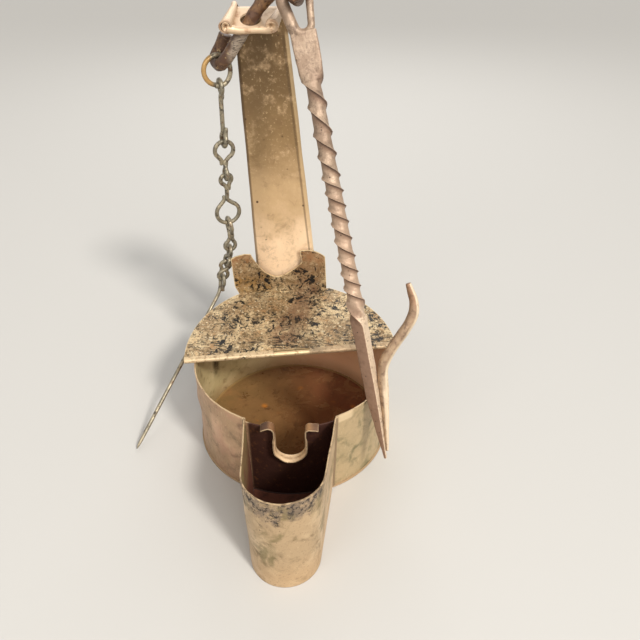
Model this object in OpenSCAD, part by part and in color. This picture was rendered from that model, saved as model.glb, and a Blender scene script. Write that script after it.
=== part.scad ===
// Betty lamp: a tin grease lamp with a spout, a hinged lid, a strap handle,
// a twisted iron hanger and a wick pick on a wire chain.
// Millimetres. The origin is the middle of the pan's underside, the spout points to -Y, +Z is up.

/* [Pan] */
// Outside radius of the pan
pan_r = 38; // [34:1:44]
// Height of the pan's rim above the table
pan_h = 36.5; // [32:0.5:42]
// Thickness of the tin sheet
sheet_t = 0.5; // [0.4:0.1:0.8]
// How far the floor disc stands out past the wall
floor_lip = 0.6; // [0.3:0.1:1]

/* [Spout] */
// Reach of the spout's foot from the pan's axis
spout_reach = 76; // [70:1:84]
// How far the lip leans back from the foot
spout_lean = 2.2; // [0:0.2:4]
// Width of the spout at its foot
spout_foot_w = 24; // [20:0.5:27]
// Width of the spout at its lip
spout_lip_w = 27; // [24:0.5:30]
// Width of the spout where it meets the pan
spout_root_w = 33.5; // [31:0.5:35]
// Shift of the spout's root to the right
root_shift = 1; // [0:0.1:1.5]
// Rise of the lip above the pan's rim
lip_rise = 3; // [0:0.5:5]
// Turn of the spout to the left of straight ahead, in degrees
spout_yaw = 4; // [0:0.5:6]
// Width of each soldered flange at the spout's root
flange_w = 3.4; // [3:0.2:6]

/* [Wick trough] */
// Inside width of the wick trough
trough_w = 10.4; // [9:0.2:12]
// Height of the trough's inside bottom above the table
trough_z = 20.5; // [17:0.5:24]
// How far the trough stands out into the spout
trough_out = 2.2; // [1.5:0.1:5]
// Shift of the trough to the right of the spout's middle
trough_shift = 0.9; // [-1:0.1:1.5]
// Drop of the wall inside the spout below the pan's rim
dam_drop = 1.8; // [0.5:0.1:3]

/* [Lid] */
// Overhang of the lid past the pan's wall
lid_over = 3.5; // [2:0.5:5]
// Slope of the open lid, in degrees
lid_tilt = 7.5; // [5:0.5:10]
// Turn of the cover and lid on the pan, in degrees
cover_yaw = 3.2; // [0:0.2:5]
// Radius of the hinge wire
hinge_r = 0.45; // [0.4:0.05:0.6]
// Length of the fixed knuckle in the middle of the hinge
knuckle_w = 14; // [10:1:20]
// Width of the lid's tongue
tongue_w = 39; // [36:0.5:41]
// Height of the tongue above its bend
tongue_h = 20; // [17:0.5:24]
// Shift of the tongue to the left
tongue_shift = 1.2; // [0:0.1:2]
// Lean of the tongue's top to the left
tongue_lean = 0.9; // [0:0.1:2]
// Width of the notch in the tongue
tongue_notch_w = 19.5; // [16:0.5:21]
// Depth of the notch in the tongue
tongue_notch_d = 11.7; // [10:0.1:14]

/* [Handle] */
// Shift of the handle to the right of the pan's middle
handle_shift = 1.2; // [0:0.1:3]
// Width of the strap at its foot
handle_foot_w = 26; // [22:0.5:28]
// Width of the strap at its top
handle_top_w = 17.2; // [16:0.1:20]
// Height of the tab's bend
handle_h = 154.7; // [140:0.1:165]
// Lean of the handle to the left, in degrees
handle_lean = 3.4; // [0:0.2:4]
// Length of the tab from the strap's back to its front edge
tab_len = 16.5; // [15.5:0.5:19]
// Fall of the tab towards its front, in degrees
tab_fall = 22; // [12:1:24]
// Shift of the tab's front to the left
tab_skew = 3.3; // [0:0.1:4]
// Radius of the rolled edges on the strap
roll_r = 1.2; // [1:0.1:1.4]
// Radius of the rolled edges at the tab's front
tab_roll_r = 2; // [1.6:0.1:2.3]

/* [Swivel link] */
// Radius of the link's forged rod
link_r = 2.2; // [1.8:0.1:2.3]
// Radius of the hole in the tab
tab_hole_r = 3.4; // [3.2:0.1:3.8]

/* [Hanger] */
// Side of the hanger's square bar
bar_w = 4.6; // [4:0.1:5]
// Length of the hanger from its eye to its point
hanger_len = 156; // [145:1:170]
// Place along the hanger where the twist starts
twist_from = 23; // [20:1:28]
// Length of the twisted stretch
twist_len = 77; // [60:1:84]
// Half turns in the twist
half_turns = 13; // [8:1:16]
// Width of the twisted stretch
twist_w = 5.8; // [5:0.1:6.4]
// Thickness of the twisted stretch
twist_t = 3.9; // [3:0.1:4.6]
// Half width of the eye's slot
eye_slot_r = 2.8; // [2.7:0.1:3]
// Width of metal round the eye
eye_band = 3; // [2.5:0.1:3.5]
// Thickness of the eye
eye_t = 3.4; // [3:0.1:4]
// Reach of the side hook from the bar's middle
hook_reach = 19.5; // [16:0.5:23]
// Rise of the side hook's tip above its root
hook_rise = 33; // [27:1:38]
// Place on the rim where the hanger leans, in degrees from +X
rest_angle = -45.6; // [-52:0.1:-40]

/* [Chain] */
// Radius of the chain's wire
wire_r = 0.75; // [0.6:0.05:0.8]
// Radius of the top ring at its wire's middle
ring_a = 5.2; // [4.8:0.1:5.6]
// Radius of the top ring's wire
ring_r = 0.9; // [0.75:0.05:1]
// Lean of the hanging chain to the back, in degrees
chain_back = 5.6; // [3:0.2:8]
// Turn of the chain's links about the vertical, in degrees
chain_yaw = 20.6; // [10:0.2:30]

/* [Hidden] */
$fn = 64;
eps = 0.01;
solder_gap = 0.05;
link_gap = 0.25;

// Colours as the old metal shows them
tin_outside = [0.62, 0.55, 0.46];
tin_inside = [0.42, 0.36, 0.26];
tin_bright = [0.72, 0.64, 0.52];
iron_dark = [0.36, 0.29, 0.24];
iron_pale = [0.58, 0.53, 0.49];
steel_wire = [0.45, 0.43, 0.38];

// Vector helpers
function unit(v) = v / norm(v);
function square_to(v, t) = unit(v - (v * t) * t);

// A round tube swept along a smooth curve through hand-set points
function spline_at(p, i, f) =
    let (a = p[max(i - 1, 0)], b = p[i], c = p[i + 1], d = p[min(i + 2, len(p) - 1)])
    0.5 * (2 * b + (c - a) * f + (2 * a - 5 * b + 4 * c - d) * f * f
           + (3 * b - a - 3 * c + d) * f * f * f);
function spline(p, steps) = concat(
    [for (i = [0 : len(p) - 2], k = [0 : steps - 1]) spline_at(p, i, k / steps)],
    [p[len(p) - 1]]);
function heading(p, i) = unit(p[min(i + 1, len(p) - 1)] - p[max(i - 1, 0)]);
function side_vectors(p, first) = [
    for (i = 0, s = square_to(first, heading(p, 0)); i < len(p);
         i = i + 1, s = i < len(p) ? square_to(s, heading(p, i)) : s) s];
function grid_faces(rows, cols) = concat(
    [[for (c = [0 : cols - 1]) c]],
    [for (r = [0 : rows - 2], c = [0 : cols - 1])
        let (n = (c + 1) % cols, a = r * cols, b = (r + 1) * cols)
        each [[a + c, b + c, a + n], [a + n, b + c, b + n]]],
    [[for (c = [cols - 1 : -1 : 0]) (rows - 1) * cols + c]]);

module tube(path, radii, sides, first) {
    across = side_vectors(path, first);
    points = [for (i = [0 : len(path) - 1], k = [0 : sides - 1])
        let (s = across[i], b = cross(heading(path, i), s), q = 360 * k / sides)
        path[i] + radii[i] * (cos(q) * s + sin(q) * b)];
    polyhedron(points, grid_faces(len(path), sides), convexity = 6);
}

// Pan

trough_ri = trough_w / 2;
trough_mid = trough_z + trough_ri;
dam_z = pan_h - dam_drop;
dam_w = spout_root_w - 2 * sheet_t - 1;

module spout_turn() {
    rotate([0, 0, -spout_yaw]) children();
}

// Upright U outline that the wick trough and its notch in the wall share
module trough_outline(grow) {
    r = trough_ri + grow;
    circle(r);
    translate([-r, 0]) square([2 * r, pan_h - trough_mid + 1]);
}

module pan_wall() {
    color(tin_outside) difference() {
        translate([0, 0, sheet_t]) cylinder(r = pan_r, h = pan_h - sheet_t, $fn = 128);
        cylinder(r = pan_r - sheet_t, h = pan_h + 1, $fn = 128);
        spout_turn() {
            translate([trough_shift, 0, trough_mid]) rotate([90, 0, 0])
                linear_extrude(pan_r + 5) trough_outline(sheet_t + solder_gap);
            translate([root_shift - dam_w / 2, -pan_r - 5, dam_z]) cube([dam_w, pan_r, 2 * dam_drop]);
        }
    }
}

module pan_floor() {
    color(tin_inside) cylinder(r = pan_r + floor_lip, h = sheet_t, $fn = 128);
}

// Spout

lip_z = pan_h + lip_rise;
root_taper = 2;
flange_under = 2.4;
flange_foot = sheet_t + 0.3;

module spout_plan(front_w, root_w, reach, inset) {
    r = front_w / 2 - inset;
    hull() {
        translate([0, r + inset - reach]) circle(r);
        translate([root_shift + inset - root_w / 2, -pan_r + 8]) square([root_w - 2 * inset, eps]);
    }
}

module spout_body(inset, low, high) {
    hull() {
        translate([0, 0, low]) linear_extrude(eps)
            spout_plan(spout_foot_w, spout_root_w - root_taper, spout_reach, inset);
        translate([0, 0, high]) linear_extrude(eps)
            spout_plan(spout_lip_w, spout_root_w, spout_reach - spout_lean, inset);
    }
}

// Everything above the spout's edge, which climbs from the rim to the lip
module above_lip() {
    slope = atan2(lip_rise, spout_reach - pan_r);
    translate([0, -pan_r + 6, pan_h]) rotate([-slope, 0, 0])
        translate([-30, -80, 0]) cube([60, 86, 20]);
}

module spout_flange(side) {
    from = asin((spout_root_w / 2 + side * root_shift - flange_under) / pan_r);
    sweep = flange_w / pan_r * 180 / PI;
    start = side > 0 ? -90 + from : -90 - from - sweep;
    translate([0, 0, flange_foot]) rotate([0, 0, start])
        rotate_extrude(angle = sweep, $fn = 128)
            translate([pan_r + solder_gap, 0]) square([sheet_t, pan_h - flange_foot]);
}

module spout_wall() {
    color(tin_bright) spout_turn() {
        difference() {
            spout_body(0, 0, lip_z);
            translate([0, 0, -eps]) spout_body(sheet_t, 0, lip_z + 4 * eps);
            above_lip();
            translate([0, 0, -1]) cylinder(r = pan_r + solder_gap, h = lip_z + 10, $fn = 128);
            translate([0, 0, -1])
                cylinder(r = pan_r + floor_lip + solder_gap, h = sheet_t + 1.3, $fn = 128);
        }
        spout_flange(1);
        spout_flange(-1);
    }
}

module spout_floor() {
    color(tin_inside) spout_turn() difference() {
        linear_extrude(sheet_t)
            spout_plan(spout_foot_w, spout_root_w - root_taper, spout_reach, sheet_t + solder_gap);
        translate([0, 0, -1]) cylinder(r = pan_r + floor_lip + solder_gap, h = 3, $fn = 128);
    }
}

// Wick trough: a bent strip through the wall, with shoulders that turn over the wall's edge

shoulder_r = 1.2;
shoulder_w = 3;

module shoulder_outline() {
    low = dam_z + solder_gap - trough_mid;
    translate([trough_ri + shoulder_r + sheet_t, low]) difference() {
        intersection() {
            circle(shoulder_r + sheet_t);
            translate([-10, 0]) square(10);
        }
        circle(shoulder_r);
    }
    translate([trough_ri + shoulder_r + sheet_t, low + shoulder_r]) square([shoulder_w, sheet_t]);
}

module wick_trough() {
    top = dam_z + solder_gap - trough_mid;
    long = trough_out + 2 * sheet_t;
    color(tin_bright) spout_turn()
        translate([trough_shift, -pan_r + 2 * sheet_t, trough_mid]) rotate([90, 0, 0]) {
            linear_extrude(long) {
                difference() {
                    intersection() {
                        trough_outline(sheet_t);
                        translate([-20, -20]) square([40, 20 + top]);
                    }
                    trough_outline(0);
                }
                shoulder_outline();
                mirror([1, 0]) shoulder_outline();
            }
        }
}

// Rear cover, hinge and lid

hinge_clear = 0.06;
hem_r = hinge_r + hinge_clear + sheet_t;
hinge_z = pan_h + solder_gap + hem_r;
lid_r = pan_r + lid_over;
tongue_bend = sqrt(lid_r * lid_r - tongue_w * tongue_w / 4);

module on_hinge() {
    rotate([0, 0, cover_yaw]) translate([0, 0, hinge_z]) children();
}

// A round bead along the hinge, from one x to another
module bead(r, from, to) {
    translate([from, 0, 0]) rotate([0, 90, 0]) cylinder(r = r, h = to - from);
}

// Plate that lies behind the hinge, its underside level with the bead's underside
module half_plate(r) {
    translate([0, 0, -hem_r]) linear_extrude(sheet_t) intersection() {
        circle(r, $fn = 128);
        translate([-r, 0]) square([2 * r, r]);
    }
}

module rear_cover() {
    color(tin_inside) on_hinge() difference() {
        union() {
            difference() {
                half_plate(pan_r);
                bead(hem_r + 0.35, -pan_r - 1, pan_r + 1);
            }
            intersection() {
                half_plate(pan_r);
                translate([-knuckle_w / 2, -1, -5]) cube([knuckle_w, 5, 10]);
            }
            bead(hem_r, -knuckle_w / 2, knuckle_w / 2);
        }
        bead(hinge_r + solder_gap / 2, -lid_r, lid_r);
    }
}

module hinge_wire() {
    color(iron_dark) on_hinge() bead(hinge_r, -lid_r + 0.5, lid_r - 0.5);
}

// Tongue outline: two prongs with cut corners and a hand-cut notch between them
notch_shape = [[-0.59, 0.02], [-0.54, -0.2], [-0.49, -0.37], [-0.41, -0.6], [-0.31, -0.81], [-0.18, -0.95],
               [-0.06, -1], [0.1, -0.94], [0.25, -0.79], [0.38, -0.63], [0.49, -0.46], [0.52, -0.2],
               [0.49, 0.02]];

function leaned(p) = [p[0] - tongue_shift - tongue_lean * p[1] / tongue_h, p[1]];

module tongue_outline() {
    corner = 5.4;
    cut = 2.4;
    half = tongue_w / 2;
    difference() {
        polygon([for (p = [[-half, 0], [-half - 0.3, tongue_h - cut], [-half + corner, tongue_h],
                           [half - corner, tongue_h - 0.4], [half - 0.4, tongue_h - cut - 0.8], [half, 0]])
                 leaned(p)]);
        polygon([for (p = notch_shape) leaned([p[0] * tongue_notch_w, tongue_h + p[1] * tongue_notch_d])]);
    }
}

// The lid is drawn open: its plate runs back from the hinge and its tongue stands up
module front_lid() {
    hem_gap = knuckle_w / 2 + 0.3;
    color(tin_outside) on_hinge() rotate([lid_tilt, 0, 0]) difference() {
        union() {
            difference() {
                translate([0, 0, 2 * hem_r - sheet_t]) intersection() {
                    half_plate(lid_r);
                    translate([-lid_r, 0, -5]) cube([2 * lid_r, tongue_bend, 10]);
                }
                translate([-hem_gap, -5, -5]) cube([2 * hem_gap, 5 + hem_r + 0.4, 10]);
            }
            bead(hem_r, -lid_r, -hem_gap);
            bead(hem_r, hem_gap, lid_r);
            translate([0, tongue_bend, hem_r - sheet_t]) rotate([90 - lid_tilt, 0, 0])
                linear_extrude(sheet_t) tongue_outline();
        }
        bead(hinge_r + hinge_clear, -lid_r - 1, lid_r + 1);
    }
}

// Handle: a strap with rolled edges, soldered round the wall and bent forward into a tab

strap_t = 0.5;
strap_mid = pan_r + solder_gap + strap_t / 2;
strap_foot_z = 5;
bend_r = 3.5;
bend_z = handle_h - bend_r;
tab_turn = 90 + tab_fall;
free_from = pan_h - 20;
free_to = pan_h + 1;
roll_to = pan_h + 16;
roll_full = 262;
roll_foot = 24;
roll_steps = 7;
flat_steps = 6;

function ramp(v, low, high) = let (f = min(1, max(0, (v - low) / (high - low)))) f * f * (3 - 2 * f);
function strap_shift(z) = handle_shift - tan(handle_lean) * (z - pan_h / 2);
function strap_w(z) = handle_foot_w
    + (handle_top_w - handle_foot_w) * (z - pan_h) / (bend_z - pan_h);

// Each station: place in y and z, turn of the bend, width, roll radius, roll angle, wrap, shift to the left
function strap_station(z) = [strap_mid, z, 0, z < pan_h ? handle_foot_w : strap_w(z), roll_r,
    roll_foot + (roll_full - roll_foot) * ramp(z, free_to, roll_to),
    1 - ramp(z, free_from, free_to), 0];
function bend_station(q) = [strap_mid - bend_r + bend_r * cos(q), bend_z + bend_r * sin(q), q,
    handle_top_w, roll_r, roll_full, 0, 0];
function tab_station(f) = let (d = f * (tab_len - bend_r), e = bend_station(tab_turn))
    [e[0] - d * sin(tab_turn), e[1] + d * cos(tab_turn), tab_turn,
     handle_top_w + f, roll_r + (tab_roll_r - roll_r) * f, roll_full, 0, f * tab_skew];

strap_stations = concat(
    [strap_station(strap_foot_z)],
    [for (k = [0 : 6]) strap_station(free_from + (free_to - free_from) * k / 6)],
    [for (k = [1 : 6]) strap_station(free_to + (roll_to - free_to) * k / 6)],
    [for (k = [1 : 4]) strap_station(roll_to + (bend_z - roll_to) * k / 4)],
    [for (k = [1 : 6]) bend_station(tab_turn * k / 6)],
    [for (k = [1 : 5]) tab_station(k / 5)]);

// Middle line of the strap's section with its normal: one rolled edge, the flat, the other edge
function roll_at(s, side, q) = let (r = s[4], c = s[3] / 2 - r)
    [side * (c + r * sin(q)), r - r * cos(q), side * sin(q), -cos(q)];
function section_line(s) = concat(
    [for (k = [roll_steps : -1 : 0]) roll_at(s, -1, s[5] * k / roll_steps)],
    [for (k = [1 : flat_steps - 1])
        [(s[3] / 2 - s[4]) * (2 * k / flat_steps - 1), 0, 0, -1]],
    [for (k = [0 : roll_steps]) roll_at(s, 1, s[5] * k / roll_steps)]);
function section_loop(s) = let (m = section_line(s), h = strap_t / 2) concat(
    [for (p = m) [p[0] + h * p[2], p[1] + h * p[3]]],
    [for (i = [len(m) - 1 : -1 : 0]) [m[i][0] - h * m[i][2], m[i][1] - h * m[i][3]]]);
function on_strap(s, p) = let (u = p[0] + strap_shift(s[1]) - s[7], v = p[1], bend = s[6] / strap_mid)
    bend > 0.0005
    ? [(1 / bend + v) * sin(u * bend * 180 / PI),
       s[0] - 1 / bend + (1 / bend + v) * cos(u * bend * 180 / PI), s[1]]
    : [u, s[0] + v * cos(s[2]), s[1] + v * sin(s[2])];

tab_front = tab_station(1);
hole_back = 6.4;
hole_side = -1;
tab_hole = [strap_shift(bend_z) - tab_skew * (1 - hole_back / (tab_len - bend_r)) + hole_side,
            tab_front[0] + hole_back, tab_front[1] + hole_back * tan(tab_fall)];

module handle_strap() {
    rings = [for (s = strap_stations) [for (p = section_loop(s)) on_strap(s, p)]];
    lip_r = 1.3;
    lip_sink = 0.2;
    lip_half = tab_front[3] / 2 - 2 * tab_roll_r + 0.4;
    color(tin_outside) difference() {
        union() {
            polyhedron([for (r = rings) each r], grid_faces(len(rings), len(rings[0])), convexity = 8);
            translate([strap_shift(tab_front[1]) - tab_skew - lip_half, tab_front[0] + lip_r - lip_sink,
                       tab_front[1] + lip_r - lip_sink])
                rotate([0, 90, 0]) cylinder(r = lip_r, h = 2 * lip_half);
        }
        translate(tab_hole - [0, 0, 2.5]) cylinder(r = tab_hole_r, h = 6);
    }
}

// Swivel link: a forged rod through the tab, with a hook above it and a bow below it

strand = tab_hole + [14.6, -9.2, 7.4];
rest_r = pan_r + 0.66 * bar_w + 0.3;
rest_point = [rest_r * cos(rest_angle), rest_r * sin(rest_angle), pan_h];
hang = unit(rest_point - strand);
eye_axis = square_to([0, 1, 0], hang);
bow = tab_hole + [-12, 5.5, -14.7];
chain_x = [cos(chain_yaw), sin(chain_yaw), 0];
chain_y = [-sin(chain_yaw), cos(chain_yaw), 0];

link_points = [
    bow + 5.2 * chain_y + [4.2, 0, 9], bow + 4.8 * chain_y + [1.8, 0, 5], bow + 3.2 * chain_y + [0.2, 0, 1.4],
    bow, bow - 3.8 * chain_y + [0.6, 0, 1.4], tab_hole + [-7.2, 0, -9.6], tab_hole + [-3.8, -0.2, -4.8],
    tab_hole, tab_hole + [3.4, -0.3, 4.4], tab_hole + [6.8, -0.7, 8.4], tab_hole + [10.4, -1, 10.6],
    strand + 7.4 * eye_axis + [-2.2, 0, 5.2], strand + 5.4 * eye_axis + [0, 0, 1.4],
    strand, strand - 4.6 * eye_axis, strand - 6.4 * eye_axis + [-1.6, 0, -2]];

module swivel_link() {
    path = spline(link_points, 4);
    last = len(path) - 1;
    ends = 0.62;
    radii = [for (i = [0 : last]) link_r * (1 - (1 - ends) * (1 - ramp(min(i, last - i), 0, 4)))];
    color(iron_dark) tube(path, radii, 12, [1, 0, 0]);
}

// Hanger: x runs to the side hook, z runs down the bar from the eye

module on_hanger() {
    side = cross(hang, eye_axis);
    multmatrix([for (i = [0 : 2]) [side[i], -eye_axis[i], hang[i], strand[i]]]) children();
}

eye_slot_len = 7.2;
eye_foot_r = 0.6 * eye_slot_r;
straight_from = twist_from + twist_len;
spike_len = 26;
shank_w = 0.92 * bar_w;
spike_tip_w = 1;

module slot_outline(grow) {
    hull() {
        circle(eye_slot_r + grow);
        translate([0, eye_slot_len]) circle(eye_foot_r + grow);
    }
}

module bar_slice(w, z) {
    translate([-w / 2, -w / 2, z]) cube([w, w, eps]);
}

module hanger_bar() {
    neck_w = 2 * (eye_foot_r + eye_band) - 1;
    neck_z = eye_slot_len + eye_foot_r + eye_band - 1.5;
    color(iron_pale) on_hanger() {
        rotate([90, 0, 0]) translate([0, 0, -eye_t / 2]) linear_extrude(eye_t) difference() {
            slot_outline(eye_band);
            slot_outline(0);
        }
        hull() {
            translate([-neck_w / 2, -eye_t / 2, neck_z]) cube([neck_w, eye_t, eps]);
            bar_slice(bar_w, twist_from);
        }
        translate([0, 0, twist_from])
            linear_extrude(twist_len, twist = 180 * half_turns, slices = 12 * half_turns, segments = 8)
                square([twist_w, twist_t], center = true);
        hull() {
            bar_slice(bar_w, straight_from - eps);
            bar_slice(shank_w, hanger_len - spike_len);
        }
        hull() {
            bar_slice(shank_w, hanger_len - spike_len);
            bar_slice(spike_tip_w, hanger_len - eps);
        }
    }
}

// Side hook: a tapered horn welded along the bar and its spike, curving out and up to a point
hook_root_r = 1.9;
hook_tip_r = 0.5;
weld_gap = 2 * solder_gap;
spike_from = hanger_len - spike_len;
weld_z = spike_from - 4;
function spike_half(z) = shank_w / 2 + (spike_tip_w - shank_w) / 2 * (z - spike_from) / spike_len;
function weld_point(z, r) = [spike_half(z) + r + weld_gap, z, r];
function horn_point(out, up, r) = [out * hook_reach, weld_z - up * hook_rise, r];

// Each point: place across and along the bar, radius
hook_points = [weld_point(hanger_len - 3, hook_tip_r), weld_point(hanger_len - 10, 0.5 * hook_root_r),
    weld_point(hanger_len - 18, 0.75 * hook_root_r), weld_point(spike_from, 0.95 * hook_root_r),
    [bar_w / 2 + hook_root_r + weld_gap, weld_z, hook_root_r],
    horn_point(0.3, 0.19, hook_root_r), horn_point(0.52, 0.39, 0.97 * hook_root_r),
    horn_point(0.8, 0.59, 0.85 * hook_root_r), horn_point(0.96, 0.73, 0.68 * hook_root_r),
    horn_point(1, 0.865, 0.48 * hook_root_r), horn_point(0.97, 1, hook_tip_r)];

module hanger_hook() {
    horn = spline(hook_points, 4);
    color(iron_pale) on_hanger() tube([for (p = horn) [p[0], 0, p[1]]], [for (p = horn) p[2]], 12, [0, 1, 0]);
}

// Chain: wire links with an eye at each end, hung in one another

// Each link: top eye radius, bottom eye radius, length between eyes, top eye edge-on, bottom eye edge-on
links = [[2.3, 2.3, 19.5, true, true], [3.5, 2.2, 9.5, false, true], [2.2, 4.6, 14.5, false, false],
         [2.8, 2.2, 10, true, false], [2.1, 2.1, 5.2, true, true], [2.1, 2.1, 5.2, false, false]];
upper_links = 4;
lower_side = 14;
lower_back = 8.6;
pick_eye = 2.4;

// Drop from the middle of one eye to the middle of the eye that hangs in it
function drop(a, ra, b, rb) = a + b - ra - rb - link_gap;
function link_drop(i) = drop(links[i - 1][1], wire_r, links[i][0], wire_r);
function link_top(i) = i == 0 ? drop(ring_a, ring_r, links[0][0], wire_r)
    : i == upper_links ? link_drop(i)
    : link_top(i - 1) + links[i - 1][2] + link_drop(i);

ring_mid = bow + [0, 0, link_r + ring_r + link_gap - ring_a];

module upper_chain() {
    translate(ring_mid) rotate([chain_back, 0, chain_yaw]) children();
}

// The lower links hang from the middle of the last upper link's bottom eye
module lower_chain() {
    upper_chain() translate([0, 0, -link_top(upper_links - 1) - links[upper_links - 1][2]])
        rotate([lower_back - chain_back, lower_side, 0]) children();
}

module eye(a, r, edge_on) {
    rotate(edge_on ? [0, 90, 0] : [90, 0, 0])
        rotate_extrude($fn = 48) translate([a, 0]) circle(r, $fn = 24);
}

module chain_link(i) {
    l = links[i];
    top = -link_top(i);
    color(steel_wire) {
        translate([0, 0, top]) eye(l[0], wire_r, l[3]);
        translate([0, 0, top - l[2]]) eye(l[1], wire_r, l[4]);
        translate([0, 0, top - l[2] + l[1]]) cylinder(r = wire_r, h = l[2] - l[0] - l[1], $fn = 24);
    }
}

module chain_ring() {
    color(steel_wire) translate(ring_mid) rotate([0, 0, chain_yaw]) eye(ring_a, ring_r, false);
}

module chain_link_1() { upper_chain() chain_link(0); }
module chain_link_2() { upper_chain() chain_link(1); }
module chain_link_3() { upper_chain() chain_link(2); }
module chain_link_4() { upper_chain() chain_link(3); }
module chain_link_5() { lower_chain() chain_link(4); }
module chain_link_6() { lower_chain() chain_link(5); }

// Wick pick: a wire with an eye at its top, bent once and pointed at its end
pick_tip = [-pan_r - 26, -12, wire_r + 0.1];
function turn_x(p, q) = [p[0], p[1] * cos(q) - p[2] * sin(q), p[1] * sin(q) + p[2] * cos(q)];
function turn_y(p, q) = [p[0] * cos(q) + p[2] * sin(q), p[1], -p[0] * sin(q) + p[2] * cos(q)];
function turn_z(p, q) = [p[0] * cos(q) - p[1] * sin(q), p[0] * sin(q) + p[1] * cos(q), p[2]];
function in_upper(p) = ring_mid + turn_z(turn_x(p, chain_back), chain_yaw);
function in_lower(p) = in_upper(
    [0, 0, -link_top(upper_links - 1) - links[upper_links - 1][2]]
    + turn_y(turn_x(p, lower_back - chain_back), lower_side));
last_link = len(links) - 1;
pick_drop = link_top(last_link) + links[last_link][2]
    + drop(links[last_link][1], wire_r, pick_eye, wire_r);
pick_top = in_lower([0, 0, -pick_drop]);
pick_neck = in_lower([0, 0, -pick_drop - pick_eye]);

module wick_pick() {
    run = unit(pick_tip - pick_neck);
    elbow = pick_neck + [-1.2, -1, -3.5];
    path = spline([pick_neck, elbow, elbow + 6 * run + [-0.6, 0, -1.2],
                   elbow + 0.5 * (pick_tip - elbow), pick_tip - 6 * run, pick_tip], 4);
    last = len(path) - 1;
    radii = [for (i = [0 : last]) wire_r * (1 - 0.7 * ramp(i, last - 5, last))];
    color(steel_wire) {
        lower_chain() translate([0, 0, -pick_drop]) eye(pick_eye, wire_r, true);
        tube(path, radii, 12, [1, 0, 0]);
    }
}

pan_wall();
pan_floor();
spout_wall();
spout_floor();
wick_trough();
rear_cover();
hinge_wire();
front_lid();
handle_strap();
swivel_link();
hanger_bar();
hanger_hook();
chain_ring();
chain_link_1();
chain_link_2();
chain_link_3();
chain_link_4();
chain_link_5();
chain_link_6();
wick_pick();
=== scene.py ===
"""Betty lamp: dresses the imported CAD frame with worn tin, forged iron and wire.

Lengths in this script are millimetres until a mesh is made; Blender gets metres.
"""

from math import acos, asin, atan2, cos, exp, hypot, pi, radians as rad, sin, sqrt, tan

import bmesh
import bpy
import numpy as np
from mathutils import Matrix, Vector, kdtree, noise


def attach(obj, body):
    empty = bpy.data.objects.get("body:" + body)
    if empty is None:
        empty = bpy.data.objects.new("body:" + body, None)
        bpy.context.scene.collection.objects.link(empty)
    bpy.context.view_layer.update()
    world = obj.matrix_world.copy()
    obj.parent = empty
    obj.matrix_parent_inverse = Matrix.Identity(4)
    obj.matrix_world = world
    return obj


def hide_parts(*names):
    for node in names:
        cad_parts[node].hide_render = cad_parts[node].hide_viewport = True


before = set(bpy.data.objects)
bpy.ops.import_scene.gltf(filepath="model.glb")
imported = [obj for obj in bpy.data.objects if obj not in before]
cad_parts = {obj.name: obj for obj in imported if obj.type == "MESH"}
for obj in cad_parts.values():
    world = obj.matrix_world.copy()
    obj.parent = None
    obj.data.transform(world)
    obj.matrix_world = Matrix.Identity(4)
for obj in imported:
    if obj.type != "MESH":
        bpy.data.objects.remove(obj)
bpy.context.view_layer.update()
MM = 0.001

# Sizes, most of them shared with the CAD source

PAN_R, PAN_H, SHEET, GAP = 38.0, 36.5, 0.5, 0.05
FLOOR_R = PAN_R + 0.6
SPOUT_REACH, SPOUT_LEAN, SPOUT_FOOT_W, SPOUT_LIP_W = 76.0, 2.2, 24.0, 27.0
SPOUT_ROOT_W, ROOT_SHIFT, ROOT_TAPER, LIP_RISE, SPOUT_YAW = 33.5, 1.0, 2.0, 3.0, 4.0
FLANGE_SHOWN, FLANGE_FOOT, FLANGE_STEPS = 1.0, 0.8, 6
TROUGH_R, TROUGH_Z, TROUGH_OUT, TROUGH_SHIFT = 5.2, 20.5, 2.2, 0.9
TROUGH_MID = TROUGH_Z + TROUGH_R
DAM_Z, DAM_W, SHOULDER_R = PAN_H - 1.8, SPOUT_ROOT_W - 2 * SHEET - 1, 1.2
HEM_R = 1.01
HINGE_Z = PAN_H + GAP + HEM_R
LID_R, LID_TILT, COVER_YAW, KNUCKLE_W = 41.5, 7.5, 3.2, 14.0
TONGUE_W, TONGUE_H, TONGUE_SHIFT, TONGUE_LEAN = 39.0, 20.0, 1.2, 0.9
NOTCH_W, NOTCH_D = 19.5, 11.7
TONGUE_BEND = sqrt(LID_R**2 - TONGUE_W**2 / 4)
STRAP_T, STRAP_FOOT_Z, HANDLE_H, HANDLE_LEAN, HANDLE_SHIFT = 0.5, 5.0, 154.7, 3.4, 1.2
STRAP_FOOT_W, STRAP_TOP_W, ROLL_R, TAB_ROLL_R = 26.0, 17.2, 1.2, 2.0
TAB_LEN, TAB_FALL, TAB_SKEW, BEND_R, TAB_HOLE_R = 16.5, 22.0, 3.3, 3.5, 3.4
LINK_R, BAR_W, HANGER_LEN = 2.2, 4.6, 156.0
TWIST_W, TWIST_T, SPIKE_LEN = 6.9, 5.1, 26.0
# Where along the bar each half turn of the twist ends
TWIST_MARKS = [23.8, 31.4, 40.2, 46.9, 53.8, 58.7, 63.8, 68.9, 74.6, 80.6, 86.0, 90.9, 95.9]
EYE_FOOT_R, EYE_T, EYE_SLOT_LEN = 1.68, 3.4, 7.2
HOOK_REACH, HOOK_RISE, REST_ANGLE = 19.5, 33.0, -45.6
WIRE_R, RING_A, RING_R, LINK_GAP = 0.75, 5.2, 0.9, 0.25
CHAIN_BACK, CHAIN_YAW, LOWER_SIDE, LOWER_BACK = 5.6, 20.6, 14.0, 8.6
PICK_EYE = 2.4
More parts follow.
